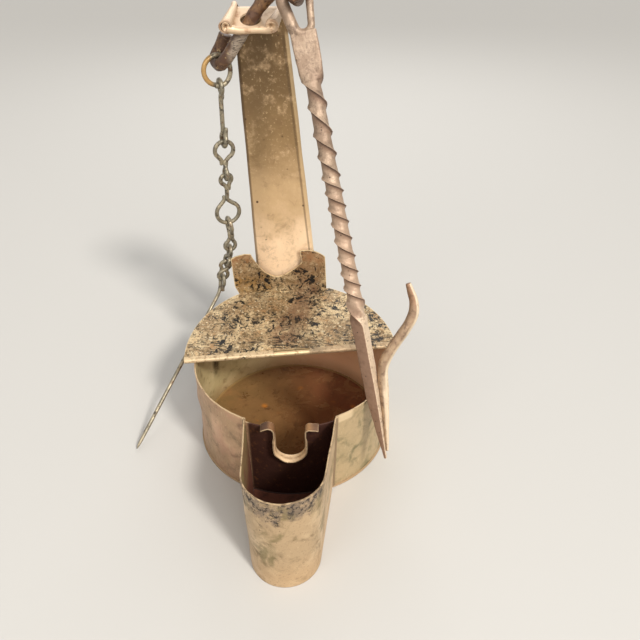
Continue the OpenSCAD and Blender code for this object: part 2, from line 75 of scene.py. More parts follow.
# Each link: top eye, bottom eye, length between them, which eyes are edge-on
LINKS = [(2.3, 2.3, 19.5, True, True), (3.5, 2.2, 9.5, False, True),
         (2.2, 4.6, 14.5, False, False), (2.8, 2.2, 10.0, True, False),
         (2.1, 2.1, 5.2, True, True), (2.1, 2.1, 5.2, False, False)]
UPPER_LINKS = 4
PICK_TIP = np.array([-PAN_R - 26, -12, WIRE_R + 0.1])
UP = np.array([0, 0, 1])

# Vector and noise helpers


def vec(*parts):
    return np.array(parts, float)


def unit(v):
    v = np.asarray(v, float)
    return v / np.linalg.norm(v)


def turn(axis, degrees):
    """Rotation matrix about one of the axes x, y and z."""
    return np.array(Matrix.Rotation(rad(degrees), 3, axis))


def ramp(v, low, high):
    f = np.clip((v - low) / (high - low), 0, 1)
    return f * f * (3 - 2 * f)


def rough(points, size, seed):
    """Smooth noise from about -1 to 1 at each point, with lumps of about the given size."""
    shift = Vector((seed * 7.3, seed * 3.1, seed * 5.7))
    return np.array([noise.noise(Vector(p) / size + shift) for p in points])


def spline(points, steps):
    """Smooth curve through the points."""
    p = np.asarray(points, float)
    out = []
    for i in range(len(p) - 1):
        a, b, c, d = p[max(i - 1, 0)], p[i], p[i + 1], p[min(i + 2, len(p) - 1)]
        for k in range(steps):
            f = k / steps
            out.append(0.5 * (2 * b + (c - a) * f + (2 * a - 5 * b + 4 * c - d) * f * f
                              + (3 * b - a - 3 * c + d) * f**3))
    return np.array(out + [p[-1]])


# Mesh helpers

WELD_GAP, SLIVER = 0.004, 0.001
SHARP_ANGLE, BEVEL_ANGLE = 35, 55
# Material slots of a sheet, after slot 0 for the side that its surface faces
BACK, RIM = 1, 2


def assign(thing, settings):
    for name, value in settings.items():
        setattr(thing, name, value)


def modify(obj, kind, **settings):
    assign(obj.modifiers.new(kind.title(), kind), settings)


def new_object(name, data):
    obj = bpy.data.objects.new(name, data)
    bpy.context.scene.collection.objects.link(obj)
    return obj


def make_object(name, verts, faces):
    mesh = bpy.data.meshes.new(name)
    mesh.from_pydata([tuple(np.asarray(v) * MM) for v in verts], [], faces)
    return new_object(name, mesh)


def weld(obj):
    """Merges points that lie on one another and turns all faces the same way."""
    bm = bmesh.new()
    bm.from_mesh(obj.data)
    bmesh.ops.remove_doubles(bm, verts=bm.verts, dist=WELD_GAP * MM)
    bmesh.ops.dissolve_degenerate(bm, dist=SLIVER * MM, edges=bm.edges)
    bmesh.ops.recalc_face_normals(bm, faces=bm.faces)
    bm.to_mesh(obj.data)
    bm.free()


def apply_all(obj):
    """Replaces the mesh by what its modifiers make of it."""
    graph = bpy.context.evaluated_depsgraph_get()
    obj.data = bpy.data.meshes.new_from_object(obj.evaluated_get(graph))
    obj.modifiers.clear()


def shade(obj):
    obj.data.shade_smooth()
    obj.data.set_sharp_from_angle(angle=rad(SHARP_ANGLE))


def rim_points(obj):
    """Points on the open border of a surface."""
    bm = bmesh.new()
    bm.from_mesh(obj.data)
    points = [v.co.copy() for v in bm.verts if v.is_boundary]
    points += [(e.verts[0].co + e.verts[1].co) / 2 for e in bm.edges if e.is_boundary]
    bm.free()
    return points


def store(obj, name, values):
    layer = obj.data.attributes.new(name, "FLOAT", "POINT")
    layer.data.foreach_set("value", np.asarray(values, np.float32))


def thicken(obj, thick, bevel):
    """Makes a closed sheet of a surface, with soft rims. Stores each point's distance to the rim."""
    rim = rim_points(obj)
    modify(obj, "SOLIDIFY", thickness=thick * MM, offset=0, use_even_offset=True,
           use_quality_normals=True, material_offset=BACK, material_offset_rim=RIM)
    modify(obj, "BEVEL", width=bevel * MM, segments=2, limit_method="ANGLE",
           angle_limit=rad(BEVEL_ANGLE), material=RIM)
    for _ in range(RIM + 1):
        obj.data.materials.append(None)
    apply_all(obj)
    tree = kdtree.KDTree(len(rim))
    for i, p in enumerate(rim):
        tree.insert(p, i)
    tree.balance()
    store(obj, "rim", [tree.find(v.co)[2] / MM for v in obj.data.vertices])
    shade(obj)


def grid_faces(rows, cols, start=0, closed=False):
    last = cols if closed else cols - 1
    return [(start + r * cols + c, start + r * cols + (c + 1) % cols,
             start + (r + 1) * cols + (c + 1) % cols, start + (r + 1) * cols + c)
            for r in range(rows - 1) for c in range(last)]


def surface(name, patches):
    """One surface from grids of points that share their borders."""
    verts, faces = [], []
    for grid in patches:
        rows, cols = len(grid), len(grid[0])
        faces += grid_faces(rows, cols, len(verts))
        verts += [p for row in grid for p in row]
    obj = make_object(name, verts, faces)
    weld(obj)
    return obj


def push(obj, amount):
    """Moves each point along its normal by amount(point in mm)."""
    points = [np.array(v.co) / MM for v in obj.data.vertices]
    normals = [np.array(v.normal) for v in obj.data.vertices]
    for v, p, n, d in zip(obj.data.vertices, points, normals, amount(np.array(points))):
        v.co = Vector((p + n * d) * MM)
    obj.data.update()


def side_vectors(path, first):
    """Sideways vectors that turn as little as they can along a path."""
    ahead = np.gradient(path, axis=0)
    ahead /= np.linalg.norm(ahead, axis=1)[:, None]
    out, s = [], np.asarray(first, float)
    for t in ahead:
        s = unit(s - (s @ t) * t)
        out.append(s)
    return ahead, np.array(out)


def around(count):
    """Angles evenly round a circle."""
    return np.linspace(0, 2 * pi, count, endpoint=False)


def loft(rings):
    """Verts and faces of a closed body through rings of points, with a fan at each end."""
    rings = [np.asarray(r) for r in rings]
    n = len(rings[0])
    verts = [p for r in rings for p in r] + [rings[0].mean(0), rings[-1].mean(0)]
    faces = grid_faces(len(rings), n, closed=True)
    first, last = len(verts) - 2, len(verts) - 1
    base = (len(rings) - 1) * n
    faces += [(first, (k + 1) % n, k) for k in range(n)]
    faces += [(last, base + k, base + (k + 1) % n) for k in range(n)]
    return verts, faces


def tube(path, radii, sides, first=(1, 0, 0), flat=None):
    """Rod along a path. flat gives, for each point, how far the section is flattened."""
    path = np.asarray(path, float)
    ahead, across = side_vectors(path, first)
    radii = np.broadcast_to(radii, len(path))
    flat = np.ones(len(path)) if flat is None else flat
    rings = []
    for p, t, s, r, f in zip(path, ahead, across, radii, flat):
        b = np.cross(t, s)
        rings.append([p + r * (cos(q) * s * f + sin(q) * b / f) for q in around(sides)])
    return loft(rings)


def from_ends(path):
    """Each point's count of steps from the path's start and from its end."""
    k = np.arange(len(path))
    return k, k[::-1]


def join(bodies):
    """Verts and faces of several closed bodies."""
    verts, faces = [], []
    for v, f in bodies:
        faces += [tuple(i + len(verts) for i in face) for face in f]
        verts += list(v)
    return verts, faces


def rod(name, body, lumps=None):
    """Smooth object of a closed body. lumps gives how far each point is pushed out."""
    obj = make_object(name, *body)
    if lumps is not None:
        push(obj, lumps)
    obj.data.shade_smooth()
    return obj


def forge(obj, voxel):
    """Melts overlapping bodies into one skin."""
    modify(obj, "REMESH", mode="VOXEL", voxel_size=voxel * MM)
    modify(obj, "SMOOTH", iterations=1, factor=0.4)
    apply_all(obj)


# Material helpers


def srgb(r, g, b):
    """Colour from the usual 0 to 255 scale."""
    return tuple((c / 255 / 12.92) if c <= 10 else ((c / 255 + 0.055) / 1.055) ** 2.4
                 for c in (r, g, b)) + (1.0,)


def feed(tree, value, socket):
    """Joins a socket to another one, or sets it to a value."""
    if isinstance(value, bpy.types.NodeSocket):
        tree.links.new(value, socket)
    else:
        socket.default_value = value


def new_node(tree, kind, inputs, **settings):
    """Outputs of a new node."""
    node = tree.nodes.new("ShaderNode" + kind)
    assign(node, settings)
    for key, value in inputs.items():
        feed(tree, value, node.inputs[key])
    return node.outputs


class Paint:
    """A material's node graph, built up in layers. Colours are on the 0 to 255 scale."""

    def __init__(self, name, metal, colour, gloss):
        self.material = bpy.data.materials.new(name)
        self.material.use_nodes = True
        self.tree = self.material.node_tree
        self.shader = self.tree.nodes["Principled BSDF"]
        self.shader.inputs["Metallic"].default_value = metal
        self.coords = self.node("TexCoord", {})
        self.colour = srgb(*colour)
        self.gloss = gloss
        self.height = None

    def node(self, kind, inputs, **settings):
        return new_node(self.tree, kind, inputs, **settings)

    def stretched(self, scale):
        return self.node("Mapping", {"Vector": self.coords["Object"], "Scale": scale})["Vector"]

    def noise(self, size, detail=6, rough=0.6, warp=0.0, place=None):
        """Noise from 0 to 1 with lumps of about size millimetres."""
        inputs = {"Vector": place or self.coords["Object"], "Scale": 1 / (size * MM),
                  "Detail": detail, "Roughness": rough, "Distortion": warp}
        return self.node("TexNoise", inputs)["Fac"]

    def math(self, kind, a, b=0.0):
        return self.node("Math", {0: a, 1: b}, operation=kind)["Value"]

    def plus(self, a, b):
        return self.math("ADD", a, b)

    def both(self, *factors):
        """Product of masks, or of values."""
        total = factors[0]
        for factor in factors[1:]:
            total = self.math("MULTIPLY", total, factor)
        return total

    def axis(self, name):
        """Place along x, y or z, in millimetres."""
        parts = self.node("SeparateXYZ", {0: self.coords["Object"]})
        return self.both(parts[name.upper()], 1 / MM)

    def along(self, vector, origin):
        """Place along a vector from an origin, in millimetres."""
        vector, origin = np.asarray(vector, float), np.asarray(origin, float)
        total = -float(vector @ origin)
        for name, part in zip("xyz", vector):
            total = self.plus(self.both(self.axis(name), float(part)), total)
        return total

    def radius(self):
        """Distance from the pan's axis, in millimetres."""
        x, y = self.axis("x"), self.axis("y")
        return self.math("SQRT", self.plus(self.both(x, x), self.both(y, y)))

    def facing(self, vector):
        """How far the surface faces along a vector, from -1 to 1."""
        inputs = {0: self.coords["Normal"], 1: unit(vector)}
        return self.node("VectorMath", inputs, operation="DOT_PRODUCT")["Value"]

    def attribute(self, name):
        return self.node("Attribute", {}, attribute_name=name)["Fac"]

    def span(self, value, low, high):
        """0 below low, 1 above high, smooth between. Low may be above high."""
        flip = low > high
        inputs = {"Value": value, "From Min": min(low, high), "From Max": max(low, high),
                  "To Min": float(flip), "To Max": float(not flip)}
        return self.node("MapRange", inputs, interpolation_type="SMOOTHSTEP")["Result"]

    def zone(self, axis, low, high):
        return self.span(self.axis(axis), low, high)

    def patches(self, size, low, high, *kind):
        return self.span(self.noise(size, *kind), low, high)

    def specks(self, size, far, near):
        """Spots about scattered points, which are about size millimetres apart."""
        inputs = {"Vector": self.coords["Object"], "Scale": 1 / (size * MM)}
        return self.span(self.node("TexVoronoi", inputs)["Distance"], far, near)

    def coat(self, colour, *masks, gloss=None):
        """Lays a colour over the last one where all the masks are 1."""
        mask = self.both(*masks)
        inputs = {"Factor": mask, 6: self.colour, 7: srgb(*colour)}
        self.colour = self.node("Mix", inputs, data_type="RGBA")[2]
        if gloss is not None:
            self.gloss = self.node("Mix", {"Factor": mask, 2: self.gloss, 3: gloss})[0]

    def relief(self, value, depth):
        """Adds value times depth, in millimetres, to the surface's fine relief."""
        term = self.both(value, depth)
        self.height = term if self.height is None else self.plus(self.height, term)

    def grain(self, depth, *kind):
        self.relief(self.noise(*kind), depth)

    def done(self):
        looks = {"Base Color": self.colour, "Roughness": self.gloss}
        if self.height is not None:
            looks["Normal"] = self.node("Bump", {"Distance": MM, "Height": self.height})["Normal"]
        for name, value in looks.items():
            feed(self.tree, value, self.shader.inputs[name])
        return self.material


def worn_rim(paint, colour, width, where):
    """Rubbed metal along the sheet's rims, broken up by noise."""
    edge = paint.plus(paint.attribute("rim"), paint.both(paint.noise(2.5), -width))
    paint.coat(colour, paint.span(edge, width * 0.5, -width * 0.2), where, gloss=0.45)


CREAM = (206, 182, 144)
DARK = (38, 28, 20)
SOOT = (66, 38, 29)


def tin(name, light, mid, dark, metal=0.4):
    """Mottled old tinplate: three tones, grey bloom, dark specks and fine relief."""
    p = Paint(name, metal, mid, 0.52)
    p.coat(light, p.patches(14, 0.42, 0.68, 4), gloss=0.46)
    p.coat(dark, p.patches(5, 0.5, 0.72, 8, 0.65, 0.4), gloss=0.6)
    p.coat(light, p.patches(1.2, 0.6, 0.75, 3), 0.45)
    p.coat(DARK, p.specks(2.4, 0.13, 0.04), p.patches(9, 0.5, 0.6), gloss=0.7)
    p.grain(0.35, 6, 5)
    p.grain(0.04, 0.8, 4)
    return p


def on_dam(p):
    """The stretch of the pan's wall in the spout's mouth."""
    return p.both(p.zone("y", -34.0, -34.6), p.zone("x", 14.6, 14.0))


def pan_outside():
    p = tin("Pan outside", (204, 168, 134), (168, 138, 106), (116, 96, 72))
    side = p.span(p.plus(p.axis("x"), p.both(p.noise(10), 20)), -2, 26)
    p.coat((176, 158, 120), side, 0.7)
    p.coat((124, 114, 80), side, p.patches(7, 0.45, 0.7, 6, 0.6, 0.5))
    left = p.zone("x", -5, -25)
    p.coat((180, 134, 110), left, 0.55, p.patches(12, 0.35, 0.65, 5))
    scratch = p.noise(3, 2, 0.5, 0, p.stretched((9, 9, 1)))
    p.coat((196, 176, 142), p.span(scratch, 0.63, 0.7), 0.6, gloss=0.4)
    fold = p.both(p.zone("x", 15.2, 15.8), p.zone("x", 21.5, 20), p.zone("z", 32.6, 33.6),
                  p.zone("y", 0, -10))
    p.coat((214, 190, 152), fold, 0.85, gloss=0.42)
    worn_rim(p, CREAM, 0.5, p.zone("z", 31, 34))
    dam = on_dam(p)
    p.coat(SOOT, dam, gloss=0.6)
    p.coat((104, 66, 40), dam, p.patches(2, 0.55, 0.72, 5))
    return p.done()


def pan_inside():
    p = tin("Pan inside", (206, 190, 146), (184, 168, 124), (132, 114, 78), 0.1)
    p.gloss = 0.4
    # Painted light: the right side of the inner wall made much lighter, where the lid shades it
    right = p.zone("x", -20, 14)
    p.coat((244, 194, 156), right, 0.85, gloss=0.34)
    p.coat((128, 92, 58), p.zone("z", 9, 1), 0.5, gloss=0.3)
    seam = p.math("ABSOLUTE", p.along((1, 0, 0), (-32.6, 0, 0)))
    dark = p.both(p.span(seam, 1.7, 0.2), p.zone("z", 7, 20))
    p.coat((58, 45, 26), dark, p.patches(4, 0.25, 0.6, 5), gloss=0.4)
    worn_rim(p, CREAM, 0.5, p.zone("z", 31, 34))
    return p.done()


def floor_inside():
    p = Paint("Oily floor and painted reflections", 0.1, (122, 84, 52), 0.26)
    p.coat((128, 100, 62), p.zone("x", 10, -30), gloss=0.3)
    p.coat((116, 68, 46), p.zone("x", -6, 28), gloss=0.24)
    p.coat((148, 110, 70), p.patches(12, 0.42, 0.66, 6, 0.6, 0.6), 0.6, gloss=0.34)
    p.coat((84, 52, 32), p.patches(5, 0.5, 0.72, 7, 0.65), 0.7, gloss=0.22)
    # Painted reflections: scattered orange glints on the floor
    p.coat((196, 124, 50), p.specks(9, 0.24, 0.05), p.patches(20, 0.45, 0.6))
    p.coat((156, 122, 80), p.patches(1.2, 0.6, 0.72, 4), 0.45)
    p.coat((176, 150, 98), p.span(p.radius(), 36.0, 36.9), 0.5, gloss=0.4)
    lip = p.span(p.radius(), 37.4, 37.8)
    p.coat((160, 134, 102), lip, gloss=0.5)
    spout = p.both(p.zone("y", -33.6, -34.2),
                   p.span(p.math("ABSOLUTE", p.along((1, 0.07, 0), (-2.6, -37.5, 0))), 15.6, 15.0))
    p.coat((58, 34, 25), spout, lip, gloss=0.6)
    p.grain(0.25, 5, 5)
    p.grain(0.03, 0.9, 3)
    return p.done()


def spout_outside():
    p = tin("Spout outside", (206, 180, 144), (178, 152, 118), (126, 106, 76))
    low = p.zone("z", 16, 2)
    p.coat((194, 160, 120), low, 0.5)
    stain = p.both(p.zone("z", 4, 14), p.patches(9, 0.5, 0.66, 6, 0.6, 0.8))
    p.coat((114, 102, 64), stain, 0.7)
    front = p.zone("y", -54, -64)
    below = p.plus(p.axis("z"), p.both(p.noise(5, 6, 0.65, 0.5), 14))
    deeper = p.both(p.zone("x", -16, -11), p.zone("x", -4.8, -6))
    below = p.plus(below, p.both(deeper, 2.5))
    gap = p.span(p.math("ABSOLUTE", p.along((1, 0, 0), (-4.6, 0, 0))), 2.2, 0.3)
    below = p.math("SUBTRACT", below, p.both(gap, 3.5))
    below = p.math("SUBTRACT", below, p.both(p.zone("x", 2, 8), 4))
    band = p.both(front, p.span(below, 38.0, 42.0))
    p.coat((104, 91, 81), band, p.patches(2.4, 0.32, 0.56, 6, 0.7), 0.75, gloss=0.62)
    p.coat((40, 35, 36), band, p.patches(1.4, 0.51, 0.59, 6, 0.7), gloss=0.7)
    p.coat((134, 110, 80), p.patches(0.7, 0.54, 0.68, 4), 0.45)
    flange = p.span(p.radius(), 39.2, 38.9)
    p.coat((138, 116, 90), flange, gloss=0.52)
    worn_rim(p, (176, 148, 112), 0.5, p.zone("z", 33, 35))
    return p.done()


def spout_inside():
    p = Paint("Spout soot and painted light", 0.1, (118, 72, 55), 0.55)
    p.coat((74, 43, 33), p.patches(6, 0.5, 0.75, 6), gloss=0.45)
    p.coat((84, 56, 30), p.patches(2, 0.6, 0.75, 5), 0.6)
    # Painted light: paler upper part of the left inner wall, which faces the light
    left = p.both(p.zone("x", -8, -14), p.zone("z", 16, 34))
    p.coat((140, 120, 80), left, p.patches(7, 0.3, 0.55, 5), gloss=0.5)
    p.grain(0.15, 2, 6)
    worn_rim(p, CREAM, 0.5, p.zone("z", 33, 35))
    return p.done()


def bright_rim(name, light, dull, fades=False):
    """Bare edge of a sheet. With fades, low, burnt and sooted stretches are dull."""
    p = Paint(name, 0.5, light, 0.45)
    p.coat(dull, p.patches(2.2, 0.5, 0.7, 6), gloss=0.55)
    p.coat((80, 60, 40), p.patches(0.7, 0.66, 0.74, 3), gloss=0.6)
    if fades:
        p.coat((128, 108, 82), p.zone("z", 35, 33), gloss=0.55)
        burnt = p.both(p.zone("y", -60, -64), p.patches(3, 0.4, 0.6, 5))
        p.coat((104, 84, 66), burnt, 0.75, gloss=0.6)
        p.coat((76, 47, 36), on_dam(p), p.span(p.radius(), 38.3, 38.1), gloss=0.6)
    p.grain(0.08, 0.9, 4)
    return p.done()


def trough_outside():
    # Very dark tin as painted shade on this side, with the rubbed rim only low on the U and the shoulders
    # left dark as painted shade
    p = tin("Trough outside", (134, 108, 74), (70, 52, 34), (34, 24, 16), 0.3)
    worn_rim(p, (214, 186, 148), 1.0, p.zone("z", 31, 27))
    return p.done()


def trough_inside():
    p = tin("Trough inside", (150, 112, 72), (122, 86, 54), (80, 54, 34), 0.2)
    # Cream band along the lip, rubbed metal and painted highlight, kept only low on the U; the shoulders
    # each side are darkened as painted shade
    worn_rim(p, (214, 184, 146), 2.6, p.zone("z", 34, 29))
    across = p.plus(p.axis("x"), p.both(p.noise(3, 4), 1.5))
    p.coat((70, 46, 32), p.span(across, -7.2, -9.0), 0.85, gloss=0.6)
    p.coat((84, 58, 42), p.span(across, 5.4, 7.6), 0.8, gloss=0.6)
    return p.done()


def lid_sooted():
    """The lid's underside, which faces up when it is open."""
    p = Paint("Lid sooted", 0.3, (154, 128, 93), 0.5)
    p.coat((202, 178, 138), p.patches(9, 0.42, 0.62, 6, 0.6, 0.4), gloss=0.48)
    p.coat((168, 126, 80), p.patches(4, 0.52, 0.66, 6, 0.65, 0.3), 0.6, gloss=0.52)
    p.coat((94, 77, 48), p.patches(2.6, 0.5, 0.6, 8, 0.75), 0.75, gloss=0.6)
    p.coat((64, 51, 32), p.patches(1.1, 0.52, 0.6, 6, 0.7), 0.85, gloss=0.62)
    p.coat((222, 206, 172), p.patches(0.9, 0.59, 0.65, 4, 0.6), 0.85)
    line = p.along((1, -0.36, 0), (-2.5, 8, 0))
    streak = p.math("ABSOLUTE", p.plus(line, p.both(p.math("SUBTRACT", p.noise(9, 5), 0.5), 16)))
    body = p.both(p.zone("y", 2.5, 6), p.patches(4, 0.3, 0.55, 6))
    p.coat((116, 84, 60), p.span(streak, 9, 2), body, 0.7, gloss=0.62)
    ochre = p.both(p.zone("x", -6, -10), p.zone("z", 43, 46), p.zone("z", 54, 50))
    p.coat((168, 128, 66), ochre, p.patches(5, 0.36, 0.58, 5), 0.7)
    p.coat((124, 92, 54), p.zone("z", 42, 50), 0.4, gloss=0.56)
    tips = p.zone("z", 54, 60)
    p.coat((142, 98, 60), tips, p.patches(4, 0.35, 0.6, 5), 0.75, gloss=0.6)
    clusters = p.patches(10, 0.43, 0.55, 3)
    p.coat((16, 12, 9), clusters, p.patches(2.3, 0.51, 0.55, 7, 0.7, 0.8), gloss=0.42)
    p.coat((28, 21, 14), p.specks(1.5, 0.24, 0.1), p.patches(3.4, 0.46, 0.56), gloss=0.5)
    cracks = p.noise(0.9, 4, 0.6, 0.6, p.stretched((0.12, 1, 1)))
    near = p.both(p.zone("y", 9, 5), p.zone("y", 0.2, 1.4))
    p.coat((24, 17, 11), near, p.span(cracks, 0.53, 0.58), p.patches(11, 0.4, 0.5), gloss=0.5)
    p.grain(-0.22, 1.6, 7, 0.7)
    p.grain(0.3, 7, 4)
    from_hinge = p.along(turn("Z", COVER_YAW) @ (0, 1, 0), (0, 0, 0))
    hem = p.both(p.span(from_hinge, 1.3, 0.7), p.patches(3, 0.66, 0.5, 5))
    p.coat((200, 176, 140), hem, gloss=0.45)
    p.coat((122, 94, 64), hem, p.patches(1.6, 0.5, 0.62, 6, 0.7, 0.4), 0.7, gloss=0.55)
    p.coat((150, 122, 92), hem, p.zone("x", -4, 14), 0.5, gloss=0.5)
    knuckle = p.both(p.span(p.math("ABSOLUTE", p.axis("x")), 9, 8), p.zone("y", 4, 3))
    worn_rim(p, (212, 190, 150), 0.55, p.math("SUBTRACT", 1.0, knuckle))
    return p.done()


def lid_outside():
    """The lid's top, which faces down when it is open."""
    return tin("Lid outside", (176, 150, 112), (140, 116, 82), (92, 74, 48)).done()


def strap_face():
    """Handle: dark under the tab as painted shadow, mottled tan below, bright peach at the foot as painted
    light.
    """
    p = Paint("Strap", 0.35, (138, 110, 72), 0.5)
    height = p.plus(p.axis("z"), p.both(p.noise(12, 5), 26))
    # Painted shadow of the tab near the top, and painted light in pale peach towards the foot
    p.coat((104, 80, 48), p.span(height, 122, 148), gloss=0.52)
    p.coat((196, 164, 122), p.span(height, 126, 96), gloss=0.5)
    p.coat((246, 214, 176), p.span(height, 98, 76), gloss=0.48)
    p.coat((206, 174, 134), p.patches(4, 0.5, 0.7, 7, 0.65), 0.5)
    p.coat((118, 90, 58), p.patches(6, 0.52, 0.72, 7, 0.7, 0.5), 0.5, gloss=0.58)
    p.coat((206, 178, 134), p.patches(1.0, 0.58, 0.7, 5), 0.5)
    p.coat((70, 44, 26), p.specks(4.5, 0.16, 0.05), p.patches(10, 0.45, 0.55), gloss=0.6)
    tab = p.both(p.zone("y", 36.8, 35.4), p.zone("z", 147.5, 148.5))
    p.coat((208, 180, 148), tab, 0.9, gloss=0.42)
    p.coat((166, 128, 98), tab, p.patches(3, 0.52, 0.7, 6), gloss=0.55)
    body = p.zone("z", 147, 145)
    low, high = 60, 140
    edges = []
    for side in (1, -1):
        here, there = [strap_shift(z) + side * strap_station(z)[3] / 2 for z in (low, high)]
        edges.append(p.along((side, 0, -side * (there - here) / (high - low)), (here, 0, low)))
    # Painted shade in the groove beside the right roll and along the left edge, with a painted highlight on
    # the right roll
    groove_shade = p.both(p.span(edges[0], -2.2, -1.8), p.span(edges[0], -1.0, -1.4))
    p.coat((84, 64, 40), groove_shade, body, 0.55, gloss=0.55)
    p.coat((190, 164, 124), p.span(edges[0], -1.1, -0.8), body, 0.5, gloss=0.45)
    p.coat((84, 62, 40), p.span(edges[1], -1.0, -0.5), body, 0.6, gloss=0.55)
    p.grain(0.3, 8, 5)
    p.grain(0.05, 0.9, 5)
    return p.done()


def iron_rusty_lit():
    p = Paint("Rusty iron and painted light", 0.4, (90, 64, 48), 0.5)
    p.coat((126, 94, 64), p.patches(4, 0.46, 0.66, 6, 0.65, 0.4), gloss=0.45)
    p.coat((52, 36, 29), p.patches(2, 0.52, 0.7, 6, 0.65), gloss=0.62)
    p.coat((176, 152, 104), p.patches(1.4, 0.6, 0.68, 5), 0.8, gloss=0.34)
    # Grey filed metal on the bow, laid only on the facet that faces the light, so partly painted light
    bow = p.both(p.zone("z", 149, 147), p.zone("y", 34, 32.5))
    bow = p.both(bow, p.span(p.facing((0.75, -0.3, 0.6)), -0.1, 0.35))
    p.coat((170, 154, 136), bow, 0.9, gloss=0.45)
    marks = p.noise(0.8, 2, 0.5, 0.2, p.stretched((0.5, 0.5, 2)))
    p.coat((96, 84, 72), bow, p.span(marks, 0.5, 0.62), gloss=0.55)
    p.relief(p.both(bow, marks), 0.15)
    p.grain(0.35, 2.2, 6)
    p.grain(0.06, 0.6, 3)
    return p.done()


def forged(p):
    """Hammered and pitted relief."""
    p.grain(0.3, 3, 6)
    p.grain(0.06, 0.6, 4)


def iron_dusty_shaded():
    dark = (92, 72, 58)
    p = Paint("Dusty iron and painted shade", 0.3, (140, 117, 97), 0.5)
    p.coat((164, 141, 119), p.patches(6, 0.42, 0.62, 5), gloss=0.45)
    p.coat(dark, p.patches(3, 0.48, 0.68, 7, 0.65, 0.4), 0.7, gloss=0.58)
    p.coat(dark, p.patches(0.8, 0.54, 0.68, 4), 0.4)
    down = p.along(HANG, STRAND)
    p.coat((186, 156, 131), p.span(down, 45, 75), 0.5)
    # Painted shade: darker bands just under each sharp edge of the twist, from the two attributes stored on
    # the bar
    p.coat((124, 92, 72), p.attribute("under"), 0.5, gloss=0.6)
    p.coat((70, 50, 40), p.attribute("crease_shade"), 0.85, gloss=0.65)
    # Painted light and shade on the square lower bar: brown on the face turned away from SIDE, pale cream
    # on the face turned towards it
    lower = p.span(down, 96, 102)
    side = p.facing(SIDE)
    p.coat((124, 94, 74), lower, p.span(side, 0.3, -0.05), 0.85, gloss=0.62)
    p.coat((222, 200, 172), lower, p.span(side, 0.25, 0.6), 0.7, gloss=0.5)
    p.coat((112, 84, 66), lower, p.patches(1.6, 0.52, 0.64, 6, 0.7), 0.5, gloss=0.62)
    p.coat((70, 52, 42), p.specks(2.2, 0.16, 0.05), p.patches(8, 0.48, 0.56), gloss=0.7)
    forged(p)
    return p.done()


def iron_horn():
    """The side hook: brown on its inner face, with painted light in pale along its outer edge and where it
    is welded.
    """
    p = Paint("Horn iron", 0.3, (142, 116, 92), 0.52)
    p.coat((164, 138, 110), p.patches(5, 0.42, 0.62, 6), gloss=0.48)
    p.coat((96, 74, 58), p.patches(2, 0.48, 0.64, 7, 0.7), 0.7, gloss=0.6)
    down = p.along(HANG, STRAND)
    p.coat((138, 96, 66), p.span(down, 104, 98), 0.5, gloss=0.6)
    # Painted light: pale where the surface faces out to the side, towards the key light
    edge = p.facing(0.85 * SIDE - 0.3 * EYE_AXIS)
    p.coat((224, 206, 178), p.span(edge, 0.5, 0.85), 0.85, gloss=0.45)
    p.coat((214, 192, 164), p.span(down, 122, 131), p.span(edge, -0.1, 0.4), 0.8, gloss=0.5)
    p.coat((104, 80, 62), p.patches(1.2, 0.56, 0.66, 6, 0.7), 0.5, gloss=0.6)
    forged(p)
    return p.done()


def wire_dull():
    p = Paint("Dull wire", 0.5, (128, 120, 102), 0.42)
    p.coat((158, 146, 122), p.patches(4, 0.45, 0.62, 5), gloss=0.36)
    p.coat((70, 62, 52), p.patches(1.6, 0.52, 0.66, 6), gloss=0.6)
    p.coat((112, 78, 52), p.patches(2.4, 0.58, 0.66, 5), 0.7, gloss=0.6)
    # Painted warm reflection, brass coloured, on the left side of the ring
    warm_reflection = p.both(p.zone("z", 129, 132), p.zone("x", -23, -24.5))
    p.coat((182, 142, 84), warm_reflection, 0.85, gloss=0.36)
    p.grain(0.06, 0.8, 5)
    return p.done()


# Pan


